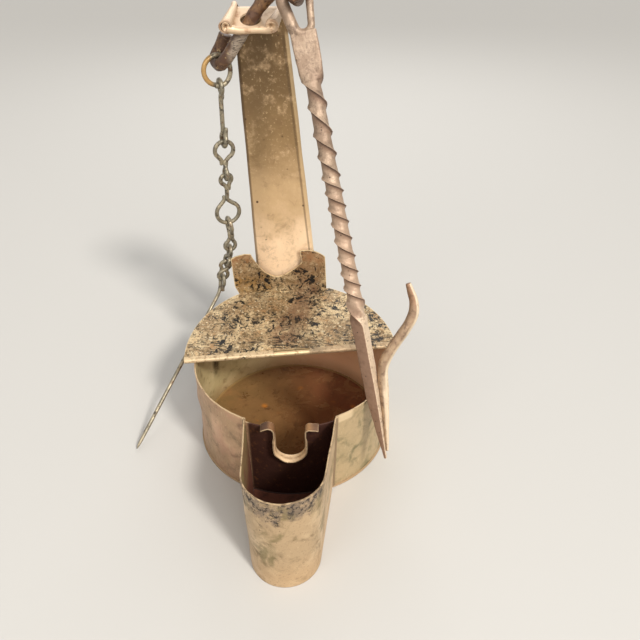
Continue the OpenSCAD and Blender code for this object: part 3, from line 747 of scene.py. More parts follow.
def pan_wall():
    """Round wall with a U notch for the trough, a few dents and a hand-cut rim."""
    notch = TROUGH_R + SHEET + GAP
    r = PAN_R - SHEET / 2
    foot, rim_from, apart = SHEET + 0.02, PAN_H - 3, 0.03
    columns = []
    for t in np.linspace(-90, 90, 21):
        x = TROUGH_SHIFT + notch * sin(rad(t))
        columns.append((asin(x / r), TROUGH_MID - notch * cos(rad(t))))
    ends = [np.degrees(asin(x / r)) for x in (TROUGH_SHIFT + notch, ROOT_SHIFT + DAM_W / 2,
                                                     ROOT_SHIFT - DAM_W / 2, TROUGH_SHIFT - notch)]
    for low, high, top, count in ((ends[0], ends[1], DAM_Z, 14), (ends[1], ends[2] + 360, PAN_H, 140),
                                  (ends[2] + 360, ends[3] + 360, DAM_Z, 12)):
        columns += [(rad(a), top) for a in np.linspace(low + apart, high - apart, count)]
    start = rad(-90 - SPOUT_YAW)
    grid = []
    for f in np.linspace(0, 1, 19):
        row = []
        for a, top in columns + columns[:1]:
            row.append((r * cos(start + a), r * sin(start + a), foot + f * (top - foot)))
        grid.append(row)
    obj = surface("pan_wall_tin", [grid])

    def dents(p):
        angle = np.degrees(np.arctan2(p[:, 1], p[:, 0]))
        from_spout = np.abs((angle + 90 + SPOUT_YAW + 180) % 360 - 180)
        from_handle = np.abs((angle - 90 + 180) % 360 - 180)
        free = ramp(from_spout, 31, 40) * ramp(from_handle, 24, 34) * ramp(p[:, 2], 1.2, 6)

        def spot(at, height, tall):
            return np.exp(-((angle - at) / 6) ** 2 - ((p[:, 2] - height) / tall) ** 2)

        left = 0.5 * spot(-171, 23, 3) - 0.9 * spot(-170, 15, 4)
        return free * (0.28 * rough(p, 16, 1) - 0.12 + left)

    outward = np.sign(np.mean([Vector((v.co.x, v.co.y, 0)).dot(v.normal) for v in obj.data.vertices]))
    push(obj, lambda p: outward * dents(p))
    for v in obj.data.vertices:
        p = np.array(v.co) / MM
        if p[2] > rim_from:
            wave = noise.noise(Vector(p) / 7) + 0.5 * noise.noise(Vector(p) / 2.2)
            v.co.z -= (0.22 + 0.2 * wave) * ramp(p[2], rim_from, PAN_H) * MM
    thicken(obj, SHEET, bevel=0.16)
    return obj


def pan_floor():
    """Floor disc with a rounded lip and a slightly uneven top."""
    even_from = 35
    lip = [(0.3, 0), (0.08, 0.1), (0, 0.3)]
    profile = [(r, SHEET) for r in (0.4, 6, 12, 18, 24, 30, even_from)]
    profile += [(FLOOR_R - back, SHEET - down) for back, down in lip]
    profile += [(FLOOR_R - back, up) for back, up in lip[::-1]]
    profile += [(r, 0) for r in (30, 12, 0.4)]
    rings = []
    for r, z in profile:
        ring = []
        for a in around(128):
            p = vec(r * cos(a), r * sin(a), z)
            if z == SHEET and r < even_from:
                p[2] -= 0.12 * (0.6 + noise.noise(Vector(p) / 9))
            ring.append(p)
        rings.append(ring)
    obj = make_object("pan_floor_tin", *loft(rings))
    weld(obj)
    shade(obj)
    return obj


# Spout


def spout_half(front_w, root_w, reach, shift):
    """Plan of the right half of the spout's sheet, from its flange to the middle of its front."""
    inset, inside = SHEET / 2, 8
    r = front_w / 2 - inset
    mid = vec(0, r + inset - reach)
    root = vec(root_w / 2 - inset + shift, inside - PAN_R)
    away = root - mid
    beta = atan2(away[1], away[0]) - acos(r / np.linalg.norm(away))
    touch = mid + r * vec(cos(beta), sin(beta))
    along = unit(touch - root)
    flange_r = PAN_R + GAP + inset
    b = root @ along
    corner = root + along * (-b + sqrt(b * b - root @ root + flange_r**2))
    a0 = atan2(corner[1], corner[0])
    flange = [flange_r * vec(cos(a0 + s), sin(a0 + s))
              for s in np.linspace(FLANGE_SHOWN / flange_r, 0.25 / flange_r, FLANGE_STEPS)]
    line = [corner + (touch - corner) * f for f in np.linspace(0.012, 1, 14)]
    arc = [mid + r * vec(cos(q), sin(q))
           for q in np.linspace(beta, -pi / 2, 18)][1:]
    return flange + line + arc


def spout_outline(front_w, root_w, reach):
    """Plan of the whole sheet, left flange to right flange. The second list is 0 on the flanges."""
    right = spout_half(front_w, root_w, reach, ROOT_SHIFT)
    left = spout_half(front_w, root_w, reach, -ROOT_SHIFT)
    kind = [0.0] * FLANGE_STEPS + [1.0] * (len(right) - FLANGE_STEPS)
    return [p * (-1, 1) for p in left[:-1]] + right[::-1], kind[:-1] + kind[::-1]


def spout_wall():
    """U-plan spout, leaning back to its lip, with a flange each side on the pan."""
    foot, kind = spout_outline(SPOUT_FOOT_W, SPOUT_ROOT_W - ROOT_TAPER, SPOUT_REACH)
    lip, _ = spout_outline(SPOUT_LIP_W, SPOUT_ROOT_W, SPOUT_REACH - SPOUT_LEAN)
    slope = LIP_RISE / (SPOUT_REACH - PAN_R)
    rise_from = PAN_R - 6
    full = PAN_H + LIP_RISE
    spin = turn("Z", -SPOUT_YAW)
    rows = 22
    grid = [[None] * len(foot) for _ in range(rows)]
    for c, (a, b, k) in enumerate(zip(foot, lip, kind)):
        low = 0.0 if np.linalg.norm(a) > FLOOR_R + 0.5 else FLANGE_FOOT
        top = PAN_H if k == 0 else PAN_H + slope * max(0.0, -b[1] - rise_from)
        wave = noise.noise(Vector((b[0] / 6, b[1] / 6, 3.0)))
        wave += 0.6 * noise.noise(Vector((b[0] / 2, b[1] / 2, 8)))
        top += (0.28 * wave - 0.12) * k
        for i, f in enumerate(np.linspace(0, 1, rows)):
            z = low + f * (top - low)
            p = a + (b - a) * min(1.0, z / full)
            grid[i][c] = spin @ vec(*p, z)
    obj = surface("spout_wall_tin", [grid])

    def dents(p):
        reach = np.linalg.norm(p[:, :2], axis=1)
        return 0.32 * rough(p, 13, 4) * ramp(reach, 40, 48) * ramp(p[:, 2], 1, 8)

    push(obj, dents)
    thicken(obj, SHEET, bevel=0.16)
    return obj


def wick_trough():
    """Bent strip through the wall: a U with a flared lip and uneven shoulders."""
    mid_r = TROUGH_R + SHEET / 2
    top = DAM_Z + GAP - TROUGH_MID
    bend = SHOULDER_R + SHEET / 2
    right = [(mid_r + bend - bend * cos(q), top + bend * sin(q))
             for q in np.linspace(0, pi / 2, 7)]
    right += [(right[-1][0] + d, right[-1][1] - 0.12 * d) for d in (0.75, 1.5, 2.25, 3)]
    hump = bend + 0.7
    left = [(-mid_r - hump + hump * cos(q), top + hump * sin(q))
            for q in np.linspace(0, pi / 2, 7)]
    left += [(left[-1][0] - d, left[-1][1] - 1.3 * (d / 2.4) ** 1.6) for d in (0.6, 1.2, 1.8, 2.4)]
    side = [top * f for f in (0.75, 0.5, 0.25)]
    bowl = [(mid_r * cos(q), mid_r * sin(q)) for q in np.linspace(0, -pi, 19)]
    outline = right[::-1] + [(mid_r, z) for z in side] + bowl
    outline += [(-mid_r, z) for z in side[::-1]] + left
    spin = turn("Z", -SPOUT_YAW)
    back, front = -PAN_R + 2 * SHEET, -PAN_R - TROUGH_OUT
    grid = []
    for f in np.linspace(0, 1, 13):
        row = []
        for x, z in outline:
            flare = 0.4 * ramp(f, 0.6, 1.0)
            grow = 1 + flare / (hypot(x, min(z, 0.0)) or 1.0)
            y = back + (front - back) * f + 0.4 * f * noise.noise(Vector((x / 2.5, z / 2.5, 5)))
            z_new = z * grow if z < 0 else z - 0.5 * ramp(f, 0.4, 1.0) * ramp(z, 4, top)
            x_new = x * grow if z < top * 0.7 else x
            z_new += 0.12 * noise.noise(Vector((x / 3, y / 3, 2)))
            row.append(spin @ vec(x_new + TROUGH_SHIFT, y, TROUGH_MID + z_new))
        grid.append(row)
    obj = surface("wick_trough_tin", [grid])
    thicken(obj, SHEET, bevel=0.12)
    return obj


# Lid


def lid_to_frame(p):
    """From the lid's own plane, with x along the hinge and y to the back."""
    return turn("Z", COVER_YAW) @ (turn("X", LID_TILT) @ np.asarray(p)) + vec(0, 0, HINGE_Z)


NOTCH_SHAPE = [(-0.59, 0.02), (-0.54, -0.2), (-0.49, -0.37), (-0.41, -0.6), (-0.31, -0.81), (-0.18, -0.95),
               (-0.06, -1), (0.1, -0.94), (0.25, -0.79), (0.38, -0.63), (0.49, -0.46)]
NOTCH = spline([(x * NOTCH_W, TONGUE_H + y * NOTCH_D) for x, y in NOTCH_SHAPE], 4)
# The right prong's inner edge: steps past the notch, and the tongue's height at each
PRONG_STEPS, PRONG_TOPS = [0.15, 0.3, 0.45], [16.6, 18.6, 20.2]
HEM_ROLL = 318


def tongue_top(x):
    """Height of the tongue's outline above its bend."""
    half = TONGUE_W / 2
    if NOTCH[0, 0] < x < NOTCH[-1, 0]:
        return float(np.interp(x, NOTCH[:, 0], NOTCH[:, 1]))
    if x < 0:
        return float(np.interp(x, [-half, -half + 2.4, -half + 5.4, NOTCH[0, 0]], [17.2, 18.9, 20.0, 19.8]))
    end = NOTCH[-1, 0]
    return float(np.interp(x, [end] + [end + d for d in PRONG_STEPS] + [half - 5.4, half - 2.2, half],
                           [NOTCH[-1, 1]] + PRONG_TOPS + [19.9, 18.4, 16.6]))


def front_lid():
    """Half-round lid, open, with a rolled hem in two knuckles and a notched tongue."""
    half_gap = KNUCKLE_W / 2 + 0.1
    plate_z = HEM_R - SHEET / 2
    xs = [LID_R * cos(rad(a)) for a in np.linspace(180, 0, 90)]
    xs += [-TONGUE_W / 2, TONGUE_W / 2, TONGUE_W / 2 - TONGUE_SHIFT, -half_gap, half_gap]
    xs += [x - TONGUE_SHIFT for x in NOTCH[:, 0]] + [NOTCH[0, 0] - TONGUE_SHIFT - 0.03]
    xs += [NOTCH[-1, 0] - TONGUE_SHIFT + d for d in PRONG_STEPS]
    xs = np.unique(np.round(xs, 3))

    def back_of(x):
        return TONGUE_BEND if abs(x) <= TONGUE_W / 2 else sqrt(max(LID_R**2 - x * x, 0.0))

    left, right = xs[xs <= -half_gap], xs[xs >= half_gap]
    inner = xs[np.abs(xs) <= half_gap]
    recess = HEM_R + 0.15
    patches = []
    shared = np.concatenate([[0.0, recess], np.linspace(recess, 40, 26)[1:]])
    for columns, steps in ((left, shared), (inner, shared[1:]), (right, shared)):
        patches.append([[vec(x, min(y, back_of(x)), plate_z) for x in columns] for y in steps])
    for columns in (left, right):
        patches.append([[vec(x, -plate_z * sin(q), plate_z * cos(q)) for x in columns]
                        for q in np.linspace(0, rad(HEM_ROLL), 22)])
    lean = vec(0, cos(rad(90 - LID_TILT)), sin(rad(90 - LID_TILT)))
    forward = vec(0, -lean[2], lean[1])
    foot = vec(0, TONGUE_BEND, plate_z)
    grid = []
    for f in np.linspace(0, 1, 24):
        row = []
        for base in xs[(xs > -TONGUE_W / 2 - 0.01) & (xs < TONGUE_W / 2 - TONGUE_SHIFT + 0.01)]:
            x = base + TONGUE_SHIFT
            h = f * (tongue_top(x) - 0.3)
            drift = -TONGUE_LEAN * h / TONGUE_H - 1.4 * ramp(h, 0, 5) * ramp(-x, 12.5, 18.3)
            drift -= 0.9 * ramp(h, 14, 20) * ramp(x, 15, 10.2) * ramp(x, 9.4, 9.7)
            sway = 0.5 * ramp(h, 2, 20) * noise.noise(Vector((x / 9, h / 9, 1)))
            ease = 0.25 * exp(-h / 0.8)
            row.append(foot + vec(base + drift, 0, 0) + lean * h + forward * (0.25 - ease + sway))
        grid.append(row)
    patches.append(grid)
    patches = [[[lid_to_frame(p) for p in row] for row in g] for g in patches]
    obj = surface("front_lid_tin", patches)

    def dents(p):
        flat = ramp(np.abs(p[:, 1]), 4, 12) * ramp(41 - np.hypot(p[:, 0], p[:, 1]), -4, 6)
        return 0.22 * rough(p, 11, 6) * flat

    push(obj, dents)
    thicken(obj, SHEET, bevel=0.11)
    return obj


# Handle

STRAP_Y = PAN_R + GAP + STRAP_T / 2
BEND_Z = HANDLE_H - BEND_R
TAB_TURN = 90 + TAB_FALL
FREE_FROM, FREE_TO, ROLL_TO = PAN_H - 20, PAN_H + 1, PAN_H + 16
ROLL_FULL, ROLL_FOOT = 262, 24


def strap_shift(z):
    return HANDLE_SHIFT - tan(rad(HANDLE_LEAN)) * (z - PAN_H / 2)


def strap_station(z):
    """Place in y and z, turn of the bend, width, roll radius, roll angle, wrap round the wall, skew."""
    width = STRAP_FOOT_W if z < PAN_H else (
        STRAP_FOOT_W + (STRAP_TOP_W - STRAP_FOOT_W) * (z - PAN_H) / (BEND_Z - PAN_H))
    roll = ROLL_FOOT + (ROLL_FULL - ROLL_FOOT) * ramp(z, FREE_TO, ROLL_TO)
    return STRAP_Y, z, 0, width, ROLL_R, roll, 1 - ramp(z, FREE_FROM, FREE_TO), 0


def bend_station(q):
    return (STRAP_Y - BEND_R + BEND_R * cos(rad(q)), BEND_Z + BEND_R * sin(rad(q)), q,
            STRAP_TOP_W, ROLL_R * (1 - 0.3 * ramp(q, 10, 60)), ROLL_FULL, 0, 0)


def tab_station(f):
    d = f * (TAB_LEN - BEND_R)
    e = bend_station(TAB_TURN)
    return (e[0] - d * sin(rad(TAB_TURN)), e[1] + d * cos(rad(TAB_TURN)), TAB_TURN,
            STRAP_TOP_W + f, e[4] + (TAB_ROLL_R - e[4]) * f, ROLL_FULL + 110 * f, 0, f * TAB_SKEW)


TAB_FRONT = tab_station(1)
HOLE_BACK, HOLE_SIDE = 6.4, -1.0
TAB_HOLE = vec(strap_shift(BEND_Z) - TAB_SKEW * (1 - HOLE_BACK / (TAB_LEN - BEND_R)) + HOLE_SIDE,
               TAB_FRONT[0] + HOLE_BACK, TAB_FRONT[1] + HOLE_BACK * tan(rad(TAB_FALL)))


def strap_row(station):
    """Points across the strap at one station: a rolled edge, the flat, the other rolled edge."""
    y, z, q, width, r, roll, wrap, skew = station
    half = width / 2 - r
    edge = []
    for t in np.linspace(rad(roll), 0, 22):
        curl = r * (1 - 0.5 * ramp(t, rad(170), rad(420)))
        edge.append((half + curl * sin(t), r - curl * cos(t)))
    flat = [(half * f, 0.0) for f in np.linspace(1, -1, 17)[1:-1]]
    row = []
    for u, v in edge + flat + [(-a, b) for a, b in edge[::-1]]:
        u += strap_shift(z) - skew
        bend = wrap / STRAP_Y
        if bend > 0.0005:
            row.append(((1 / bend + v) * sin(u * bend),
                        y - 1 / bend + (1 / bend + v) * cos(u * bend), z))
        else:
            row.append((u, y + v * cos(rad(q)), z + v * sin(rad(q))))
    return row


def add_body(obj, verts, faces):
    """Adds a closed body to a mesh that has a rim attribute, far from any rim."""
    far = 5.0
    rims = np.zeros(len(obj.data.vertices), np.float32)
    obj.data.attributes["rim"].data.foreach_get("value", rims)
    other = make_object("added_body", verts, faces)
    weld(other)
    bm = bmesh.new()
    bm.from_mesh(obj.data)
    bm.from_mesh(other.data)
    bm.to_mesh(obj.data)
    bm.free()
    bpy.data.objects.remove(other)
    obj.data.attributes.remove(obj.data.attributes["rim"])
    store(obj, "rim", np.concatenate([rims, np.full(len(obj.data.vertices) - len(rims), far)]))


def handle_strap():
    """Strap with rolled edges, bent forward into a tab with a beaded lip and a punched hole."""
    stations = [strap_station(z) for z in np.linspace(STRAP_FOOT_Z, ROLL_TO, 26)]
    stations += [strap_station(z) for z in np.linspace(ROLL_TO, BEND_Z, 40)[1:]]
    stations += [bend_station(q) for q in np.linspace(0, TAB_TURN, 12)[1:]]
    stations += [tab_station(f) for f in np.linspace(0, 1, 14)[1:]]
    obj = surface("handle_strap_tin", [[strap_row(s) for s in stations]])

    def dents(p):
        free = ramp(p[:, 2], PAN_H + 26, PAN_H + 45) * ramp(HANDLE_H - p[:, 2], 2, 12)
        return 0.3 * rough(p, 15, 8) * free

    push(obj, dents)
    thicken(obj, STRAP_T, bevel=0.11)
    hole, faces = tube([TAB_HOLE - (0, 0, 2.5), TAB_HOLE + (0, 0, 0.4), TAB_HOLE + (0, 0, 3.5)],
                       TAB_HOLE_R, 32)
    cutter = make_object("tab_hole_cutter", hole, faces)
    modify(obj, "BOOLEAN", operation="DIFFERENCE", object=cutter, solver="EXACT")
    apply_all(obj)
    bpy.data.objects.remove(cutter)
    lip_half = TAB_FRONT[3] / 2 - TAB_ROLL_R - 0.5
    front = vec(strap_shift(TAB_FRONT[1]) - TAB_SKEW, *TAB_FRONT[:2])
    path, radii = [], []
    for f in np.linspace(-1, 1, 33):
        r = 1.12 + 0.55 * abs(f) ** 5
        path.append(front + vec(lip_half * f, 0.45 + 0.15 * f * f, r - 0.45 + 0.1 * sin(5 * f)))
        radii.append(r)
    path = np.array(path)
    add_body(obj, *tube(path, np.array(radii) * (1 + 0.05 * rough(path, 4, 9)), 20, (0, 0, 1)))
    up = vec(0, cos(rad(TAB_TURN)), sin(rad(TAB_TURN)))
    ahead = vec(0, -sin(rad(TAB_TURN)), cos(rad(TAB_TURN)))
    for side, wide in ((-1, 0.75), (1, 1.0)):
        mid = front + up * TAB_ROLL_R + vec(side * (TAB_FRONT[3] / 2 - TAB_ROLL_R), 0, 0)
        across = vec(wide, 0, 0)
        rings = []
        for r, d in ((0.1, -1.6), (0.22, -0.7), (0.5, -0.1), (0.72, 0.12), (0.84, 0.0), (0.86, -2.0)):
            rings.append([mid + ahead * d + TAB_ROLL_R * r * (cos(q) * across + sin(q) * up)
                          for q in around(24)])
        add_body(obj, *loft(rings))
    shade(obj)
    return obj


# Swivel link and hanger

STRAND = TAB_HOLE + vec(14.6, -9.2, 7.4)
REST_R = PAN_R + 0.66 * BAR_W + 0.3
REST_POINT = vec(REST_R * cos(rad(REST_ANGLE)), REST_R * sin(rad(REST_ANGLE)), PAN_H)
HANG = unit(REST_POINT - STRAND)
EYE_AXIS = unit(vec(0, 1, 0) - HANG[1] * HANG)
SIDE = np.cross(HANG, EYE_AXIS)
HANGER = np.column_stack([SIDE, -EYE_AXIS, HANG])
BOW = TAB_HOLE + vec(-12, 5.5, -14.7)
CHAIN_X = vec(cos(rad(CHAIN_YAW)), sin(rad(CHAIN_YAW)), 0)
CHAIN_Y = vec(-CHAIN_X[1], CHAIN_X[0], 0)


def on_hanger(points):
    return [HANGER @ np.asarray(p) + STRAND for p in points]


def swivel_link():
    """Forged rod through the tab: a bow below, a hook above."""
    points = [BOW + 2.7 * CHAIN_Y + (4.2, 0, 8.6), BOW + 3.6 * CHAIN_Y + (2.6, 0, 5),
              BOW + 3.2 * CHAIN_Y + (0.2, 0, 1.4), BOW, BOW - 3.8 * CHAIN_Y + (0.6, 0, 1.4),
              TAB_HOLE + (-7.2, 0, -9.6), TAB_HOLE + (-3.8, -0.2, -4.8), TAB_HOLE,
              TAB_HOLE + (3.4, -0.3, 4.4), TAB_HOLE + (6.8, -0.7, 8.4), TAB_HOLE + (10.4, -1, 10.6),
              STRAND + 7.4 * EYE_AXIS + (-2.2, 0, 5.2), STRAND + 5.4 * EYE_AXIS + (0, 0, 1.4),
              STRAND, STRAND - 4.6 * EYE_AXIS, STRAND - 6.4 * EYE_AXIS + (-1.6, 0, -2)]
    steps = 8
    path = spline(points, steps)
    k, back = from_ends(path)
    radii = LINK_R * (1 - 0.38 * (1 - ramp(back, 0, 8)) + 0.2 * ramp(k, 2.6 * steps, 1.6 * steps))
    radii = radii * (1 + 0.38 * ramp(k, 7.7 * steps, 9 * steps) * ramp(k, 11.4 * steps, 10 * steps))
    radii = radii * (0.97 + 0.05 * rough(path, 4, 11))
    flat = 1 + 0.1 * rough(path, 7, 12)
    return rod("swivel_link_iron", tube(path, radii, 20, (1, 0, 0), flat),
               lambda p: 0.16 * rough(p, 2.2, 13) - 0.05)


def boxed(c, s, power):
    """Reach of a rounded square in one direction: on its corner with power 1, flat with a high power."""
    return (abs(c) ** power + abs(s) ** power) ** (-1 / power)


def bar_ring(z):
    """Section of the bar: flat in the neck, a lens with two sharp edges in the twist, square below."""
    half_x, half_y, spin, lens, plain = bar_section(z)
    ring = []
    for q in around(72):
        c, s = cos(q), sin(q)
        box = boxed(c, s, 9) * (1 - lens - plain) + boxed(c, s, 1.1) * plain
        under = 1 - 0.11 * lens * (1 - (q % pi) / pi) ** 2
        x = under * half_x * (box * c + c * lens)
        y = under * half_y * (box * s + s * abs(s) * lens)
        ring.append((x * cos(spin) - y * sin(spin), x * sin(spin) + y * cos(spin), z))
    return ring


def bar_section(z):
    """Half width, half thickness, turn, and the shares of lens and square, at one place along the bar."""
    half = 0.68 * BAR_W
    wide, deep = TWIST_W / 2, TWIST_T / 2
    turns = float(np.interp(z, TWIST_MARKS, range(len(TWIST_MARKS))))
    part = turns % 1
    spin = -pi * (turns + 0.55 * (acos(1 - 2 * part) / pi - part))
    first, last = TWIST_MARKS[0], TWIST_MARKS[-1]
    neck = 1 - ramp(z, first - 9, first + 6)
    wide += (4.1 - wide) * neck
    deep += (EYE_T / 2 - deep) * neck
    plain = ramp(z, last - 1, last + 8)
    wide += (half - wide) * plain
    deep += (half - deep) * plain
    spin -= rad(107) * ramp(z, last, last + 9)
    taper = 1 - 0.08 * ramp(z, last, HANGER_LEN - SPIKE_LEN)
    taper *= 1 - 0.8 * max(0.0, (z - HANGER_LEN + SPIKE_LEN) / SPIKE_LEN) ** 1.1
    lens = ramp(z, first - 4, first + 2) * (1 - plain)
    return wide * taper, deep * taper, spin, lens, plain


def hanger_bar():
    """Iron bar: a forged eye, a twisted stretch and a spike."""
    first, last = TWIST_MARKS[0], TWIST_MARKS[-1]
    top = EYE_SLOT_LEN + EYE_FOOT_R + 0.6
    along = np.concatenate([np.linspace(top, first, 20), np.linspace(first, last, 330)[1:],
                            np.linspace(last, HANGER_LEN, 60)[1:]])
    verts, faces = loft([bar_ring(z) for z in along])
    hole, foot, aside = 2.55, 1.3, 0.4
    tilt = asin((hole - foot) / EYE_SLOT_LEN)
    upper_steps = 24
    angles = np.concatenate([np.linspace(pi - tilt, 2 * pi + tilt, upper_steps),
                             np.linspace(tilt, pi - tilt, 20)])
    loop, thick = [], []
    for i, q in enumerate(angles):
        low = i >= upper_steps
        band = 1.62 - 0.38 * cos(q)
        reach = (foot if low else hole) + band
        loop.append((aside * low + reach * cos(q), 0, EYE_SLOT_LEN * low + reach * sin(q)))
        thick.append(band)
    loop, thick = np.array(loop + loop[:2]), np.array(thick + thick[:2])
    thick = thick * (1 + 0.07 * rough(loop, 4, 21))
    eye = tube(loop, thick, 18, (0, 1, 0), np.full(len(loop), 1.04))
    bodies = [(on_hanger(verts), faces), (on_hanger(eye[0]), eye[1])]
    obj = make_object("hanger_bar_iron", *join(bodies))
    forge(obj, voxel=0.17)
    local = [HANGER.T @ (np.array(v.co) / MM - STRAND) for v in obj.data.vertices]
    push(obj, lambda p: 0.1 * rough(p, 3.0, 22) + 0.04 * rough(p, 1.1, 23) - 0.02)
    # Masks for the painted shade just under each edge of the twist
    crease_shade, under = [], []
    for x, y, z in local:
        _, _, spin, lens, _ = bar_section(z)
        past = (atan2(y, x) - spin) % pi
        crease_shade.append(lens * (1 - ramp(past, 0.05, 0.45)))
        under.append(lens * (1 - ramp(past, 0.3, 1.5)))
    store(obj, "crease_shade", crease_shade)
    store(obj, "under", under)
    obj.data.shade_smooth()
    return obj


def hanger_hook():
    """Tapered horn welded along the bar and its spike, curving out and up to a point."""
    root_r, tip_r = 1.9, 0.5
    spike = HANGER_LEN - SPIKE_LEN
    weld_z = spike - 4

    def on_spike(back, r):
        half = 0.46 * BAR_W + (0.5 - 0.46 * BAR_W) * (SPIKE_LEN - back) / SPIKE_LEN
        return half + r, HANGER_LEN - back, r

    points = [on_spike(3, tip_r), on_spike(10, 0.5 * root_r), on_spike(18, 0.75 * root_r),
              on_spike(SPIKE_LEN, 0.95 * root_r), (BAR_W / 2 + root_r + 0.1, weld_z, root_r)]
    points += [(out * HOOK_REACH, weld_z - up * HOOK_RISE, r * root_r) for out, up, r in
               ((0.3, 0.19, 1), (0.54, 0.37, 1), (0.8, 0.53, 0.98), (0.96, 0.66, 0.95),
                (1, 0.79, 0.84), (0.98, 0.91, 0.7), (0.96, 0.99, 0.5))]
    horn = spline(points, 10)
    path = np.array([(x, 0, z) for x, z, _ in horn])
    radii = horn[:, 2] * (1 + 0.05 * rough(path, 5, 31))
    verts, faces = tube(path, radii, 20, (0, 1, 0), 1 + 0.08 * rough(path, 8, 32))
    return rod("hanger_hook_iron", (on_hanger(verts), faces), lambda p: 0.1 * rough(p, 3, 33) - 0.02)


# Chain


def drop(a, ra, b, rb):
    """From the middle of one eye to the middle of the eye that hangs in it."""
    return a + b - ra - rb - LINK_GAP


def link_top(i):
    if i == 0:
        return drop(RING_A, RING_R, LINKS[0][0], WIRE_R)
    step = drop(LINKS[i - 1][1], WIRE_R, LINKS[i][0], WIRE_R)
    if i == UPPER_LINKS:
        return step
    return link_top(i - 1) + LINKS[i - 1][2] + step


RING_MID = BOW + (LINK_R + RING_R + LINK_GAP - RING_A) * UP
UPPER = turn("Z", CHAIN_YAW) @ turn("X", CHAIN_BACK)
LOWER_AT = -(link_top(UPPER_LINKS - 1) + LINKS[UPPER_LINKS - 1][2]) * UP
LOWER = turn("Y", LOWER_SIDE) @ turn("X", LOWER_BACK - CHAIN_BACK)


def in_upper(p):
    return RING_MID + UPPER @ np.asarray(p, float)


def in_lower(p):
    return in_upper(LOWER_AT + LOWER @ np.asarray(p, float))


def eye_path(mid, r, edge_on, up, side):
    """Wire bent round an eye: from its tail beside the shaft, round the eye, to the shaft."""
    x, y, z = np.eye(3)
    across, other = (y, x) if edge_on else (x, y)
    lift = z if up else -z
    start, end = 228, -64
    pts = [mid - lift * (r + 2.6) - across * side * 1.3 + other * 0.9,
           mid - lift * (r + 1.0) - across * side * 1.1 + other * 0.7]
    for q in np.linspace(start, end, 15):
        bend = 0.45 * exp(-((start - q) / 60) ** 2)
        pts.append(mid + r * (cos(rad(q)) * across * side + sin(rad(q)) * lift) + other * bend)
    return pts


def chain_link(i):
    top_r, low_r, length, top_edge, low_edge = LINKS[i]
    top = -link_top(i) * UP
    low = top - length * UP
    side = 1 if i % 2 else -1
    first = eye_path(top, top_r, top_edge, up=True, side=side)
    last = eye_path(low, low_r, low_edge, up=False, side=-side)[::-1]
    shaft = []
    gap, clear = length - top_r - low_r, 1.4
    if gap > 3.4:
        shaft = [top - (top_r + clear + (gap - 2 * clear) * f) * UP for f in np.linspace(0, 1, 4)]
    elif gap > 0.8:
        shaft = [(top + low) / 2 + (low_r - top_r) / 2 * UP]
    move = in_upper if i < UPPER_LINKS else in_lower
    path = spline([move(p) for p in first + shaft + last], 4)
    radii = WIRE_R * (1.1 + 0.07 * rough(path, 2.5, 40 + i))
    radii = radii * (0.7 + 0.3 * ramp(np.minimum(*from_ends(path)), 0, 3))
    return rod(f"chain_link_{i + 1}_wire", tube(path, radii, 12, UPPER @ vec(0.3, 1, 0.2)))


def chain_ring():
    """Ring of thicker wire, its ends lapped."""
    start, end = -112, 262
    pts = []
    for q in np.linspace(start, end, 40):
        f = (q - start) / (end - start)
        r = RING_A * (1 + 0.035 * cos(rad(2 * q)))
        lap = 0.9 * (ramp(f, 0.9, 1.0) - ramp(f, 0.1, 0.0))
        squash = 0.74 if cos(rad(q)) > 0 else 1.0
        out = squash * cos(rad(q)) * CHAIN_X + sin(rad(q)) * UP
        pts.append(RING_MID + r * out + lap * CHAIN_Y)
    path = spline(pts, 3)
    radii = RING_R * (0.95 + 0.05 * rough(path, 3, 51))
    return rod("chain_ring_wire", tube(path, radii, 14, CHAIN_Y))


def wick_pick():
    """Wire with an eye at its top, bent once, its point on the table."""
    last = len(LINKS) - 1
    fall = link_top(last) + LINKS[last][2] + drop(LINKS[last][1], WIRE_R, PICK_EYE, WIRE_R)
    eye = [in_lower(p) for p in eye_path(-fall * UP, PICK_EYE, edge_on=True, up=True, side=1)]
    neck = in_lower((0, 0, -fall - PICK_EYE))
    run = unit(PICK_TIP - neck)
    elbow = neck + (-1.2, -1, -3.5)
    rest = [elbow, elbow + 6 * run + (-0.6, 0, -1.2), elbow + 0.5 * (PICK_TIP - elbow),
            PICK_TIP - 6 * run, PICK_TIP]
    path = spline(eye + rest, 6)
    taper = 1 - 0.7 * ramp(from_ends(path)[1], 7, 0)
    radii = WIRE_R * taper * (1.06 + 0.05 * rough(path, 3, 61))
    return rod("wick_pick_wire", tube(path, radii, 12, (0.3, 1, 0.2)))


# Build and dress the pieces


def dress(obj, *materials):
    """Fills the slots. Clearing them sets every face to the first, so the faces' slots are put back."""
    kept = [min(face.material_index, len(materials) - 1) for face in obj.data.polygons]
    obj.data.materials.clear()
    for m in materials:
        obj.data.materials.append(m)
    obj.data.polygons.foreach_set("material_index", kept)


def add(node, body, slot, obj, *materials):
    """Dresses an object and sets it on its body, in place of its CAD node."""
    dress(obj, *materials)
    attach(obj, body)
    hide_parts(node)


rim = bright_rim("Rubbed rim", (204, 180, 140), (148, 122, 86))
pan_rim = bright_rim("Pan rim", (190, 164, 128), (122, 98, 70), fades=True)
lip_rim = bright_rim("Trough lip", (206, 178, 142), (150, 120, 88))
strap_rim = bright_rim("Strap rim", (196, 166, 138), (160, 126, 100))
strap, soot_and_light, rust_and_light, wire = strap_face(), spout_inside(), iron_rusty_lit(), wire_dull()

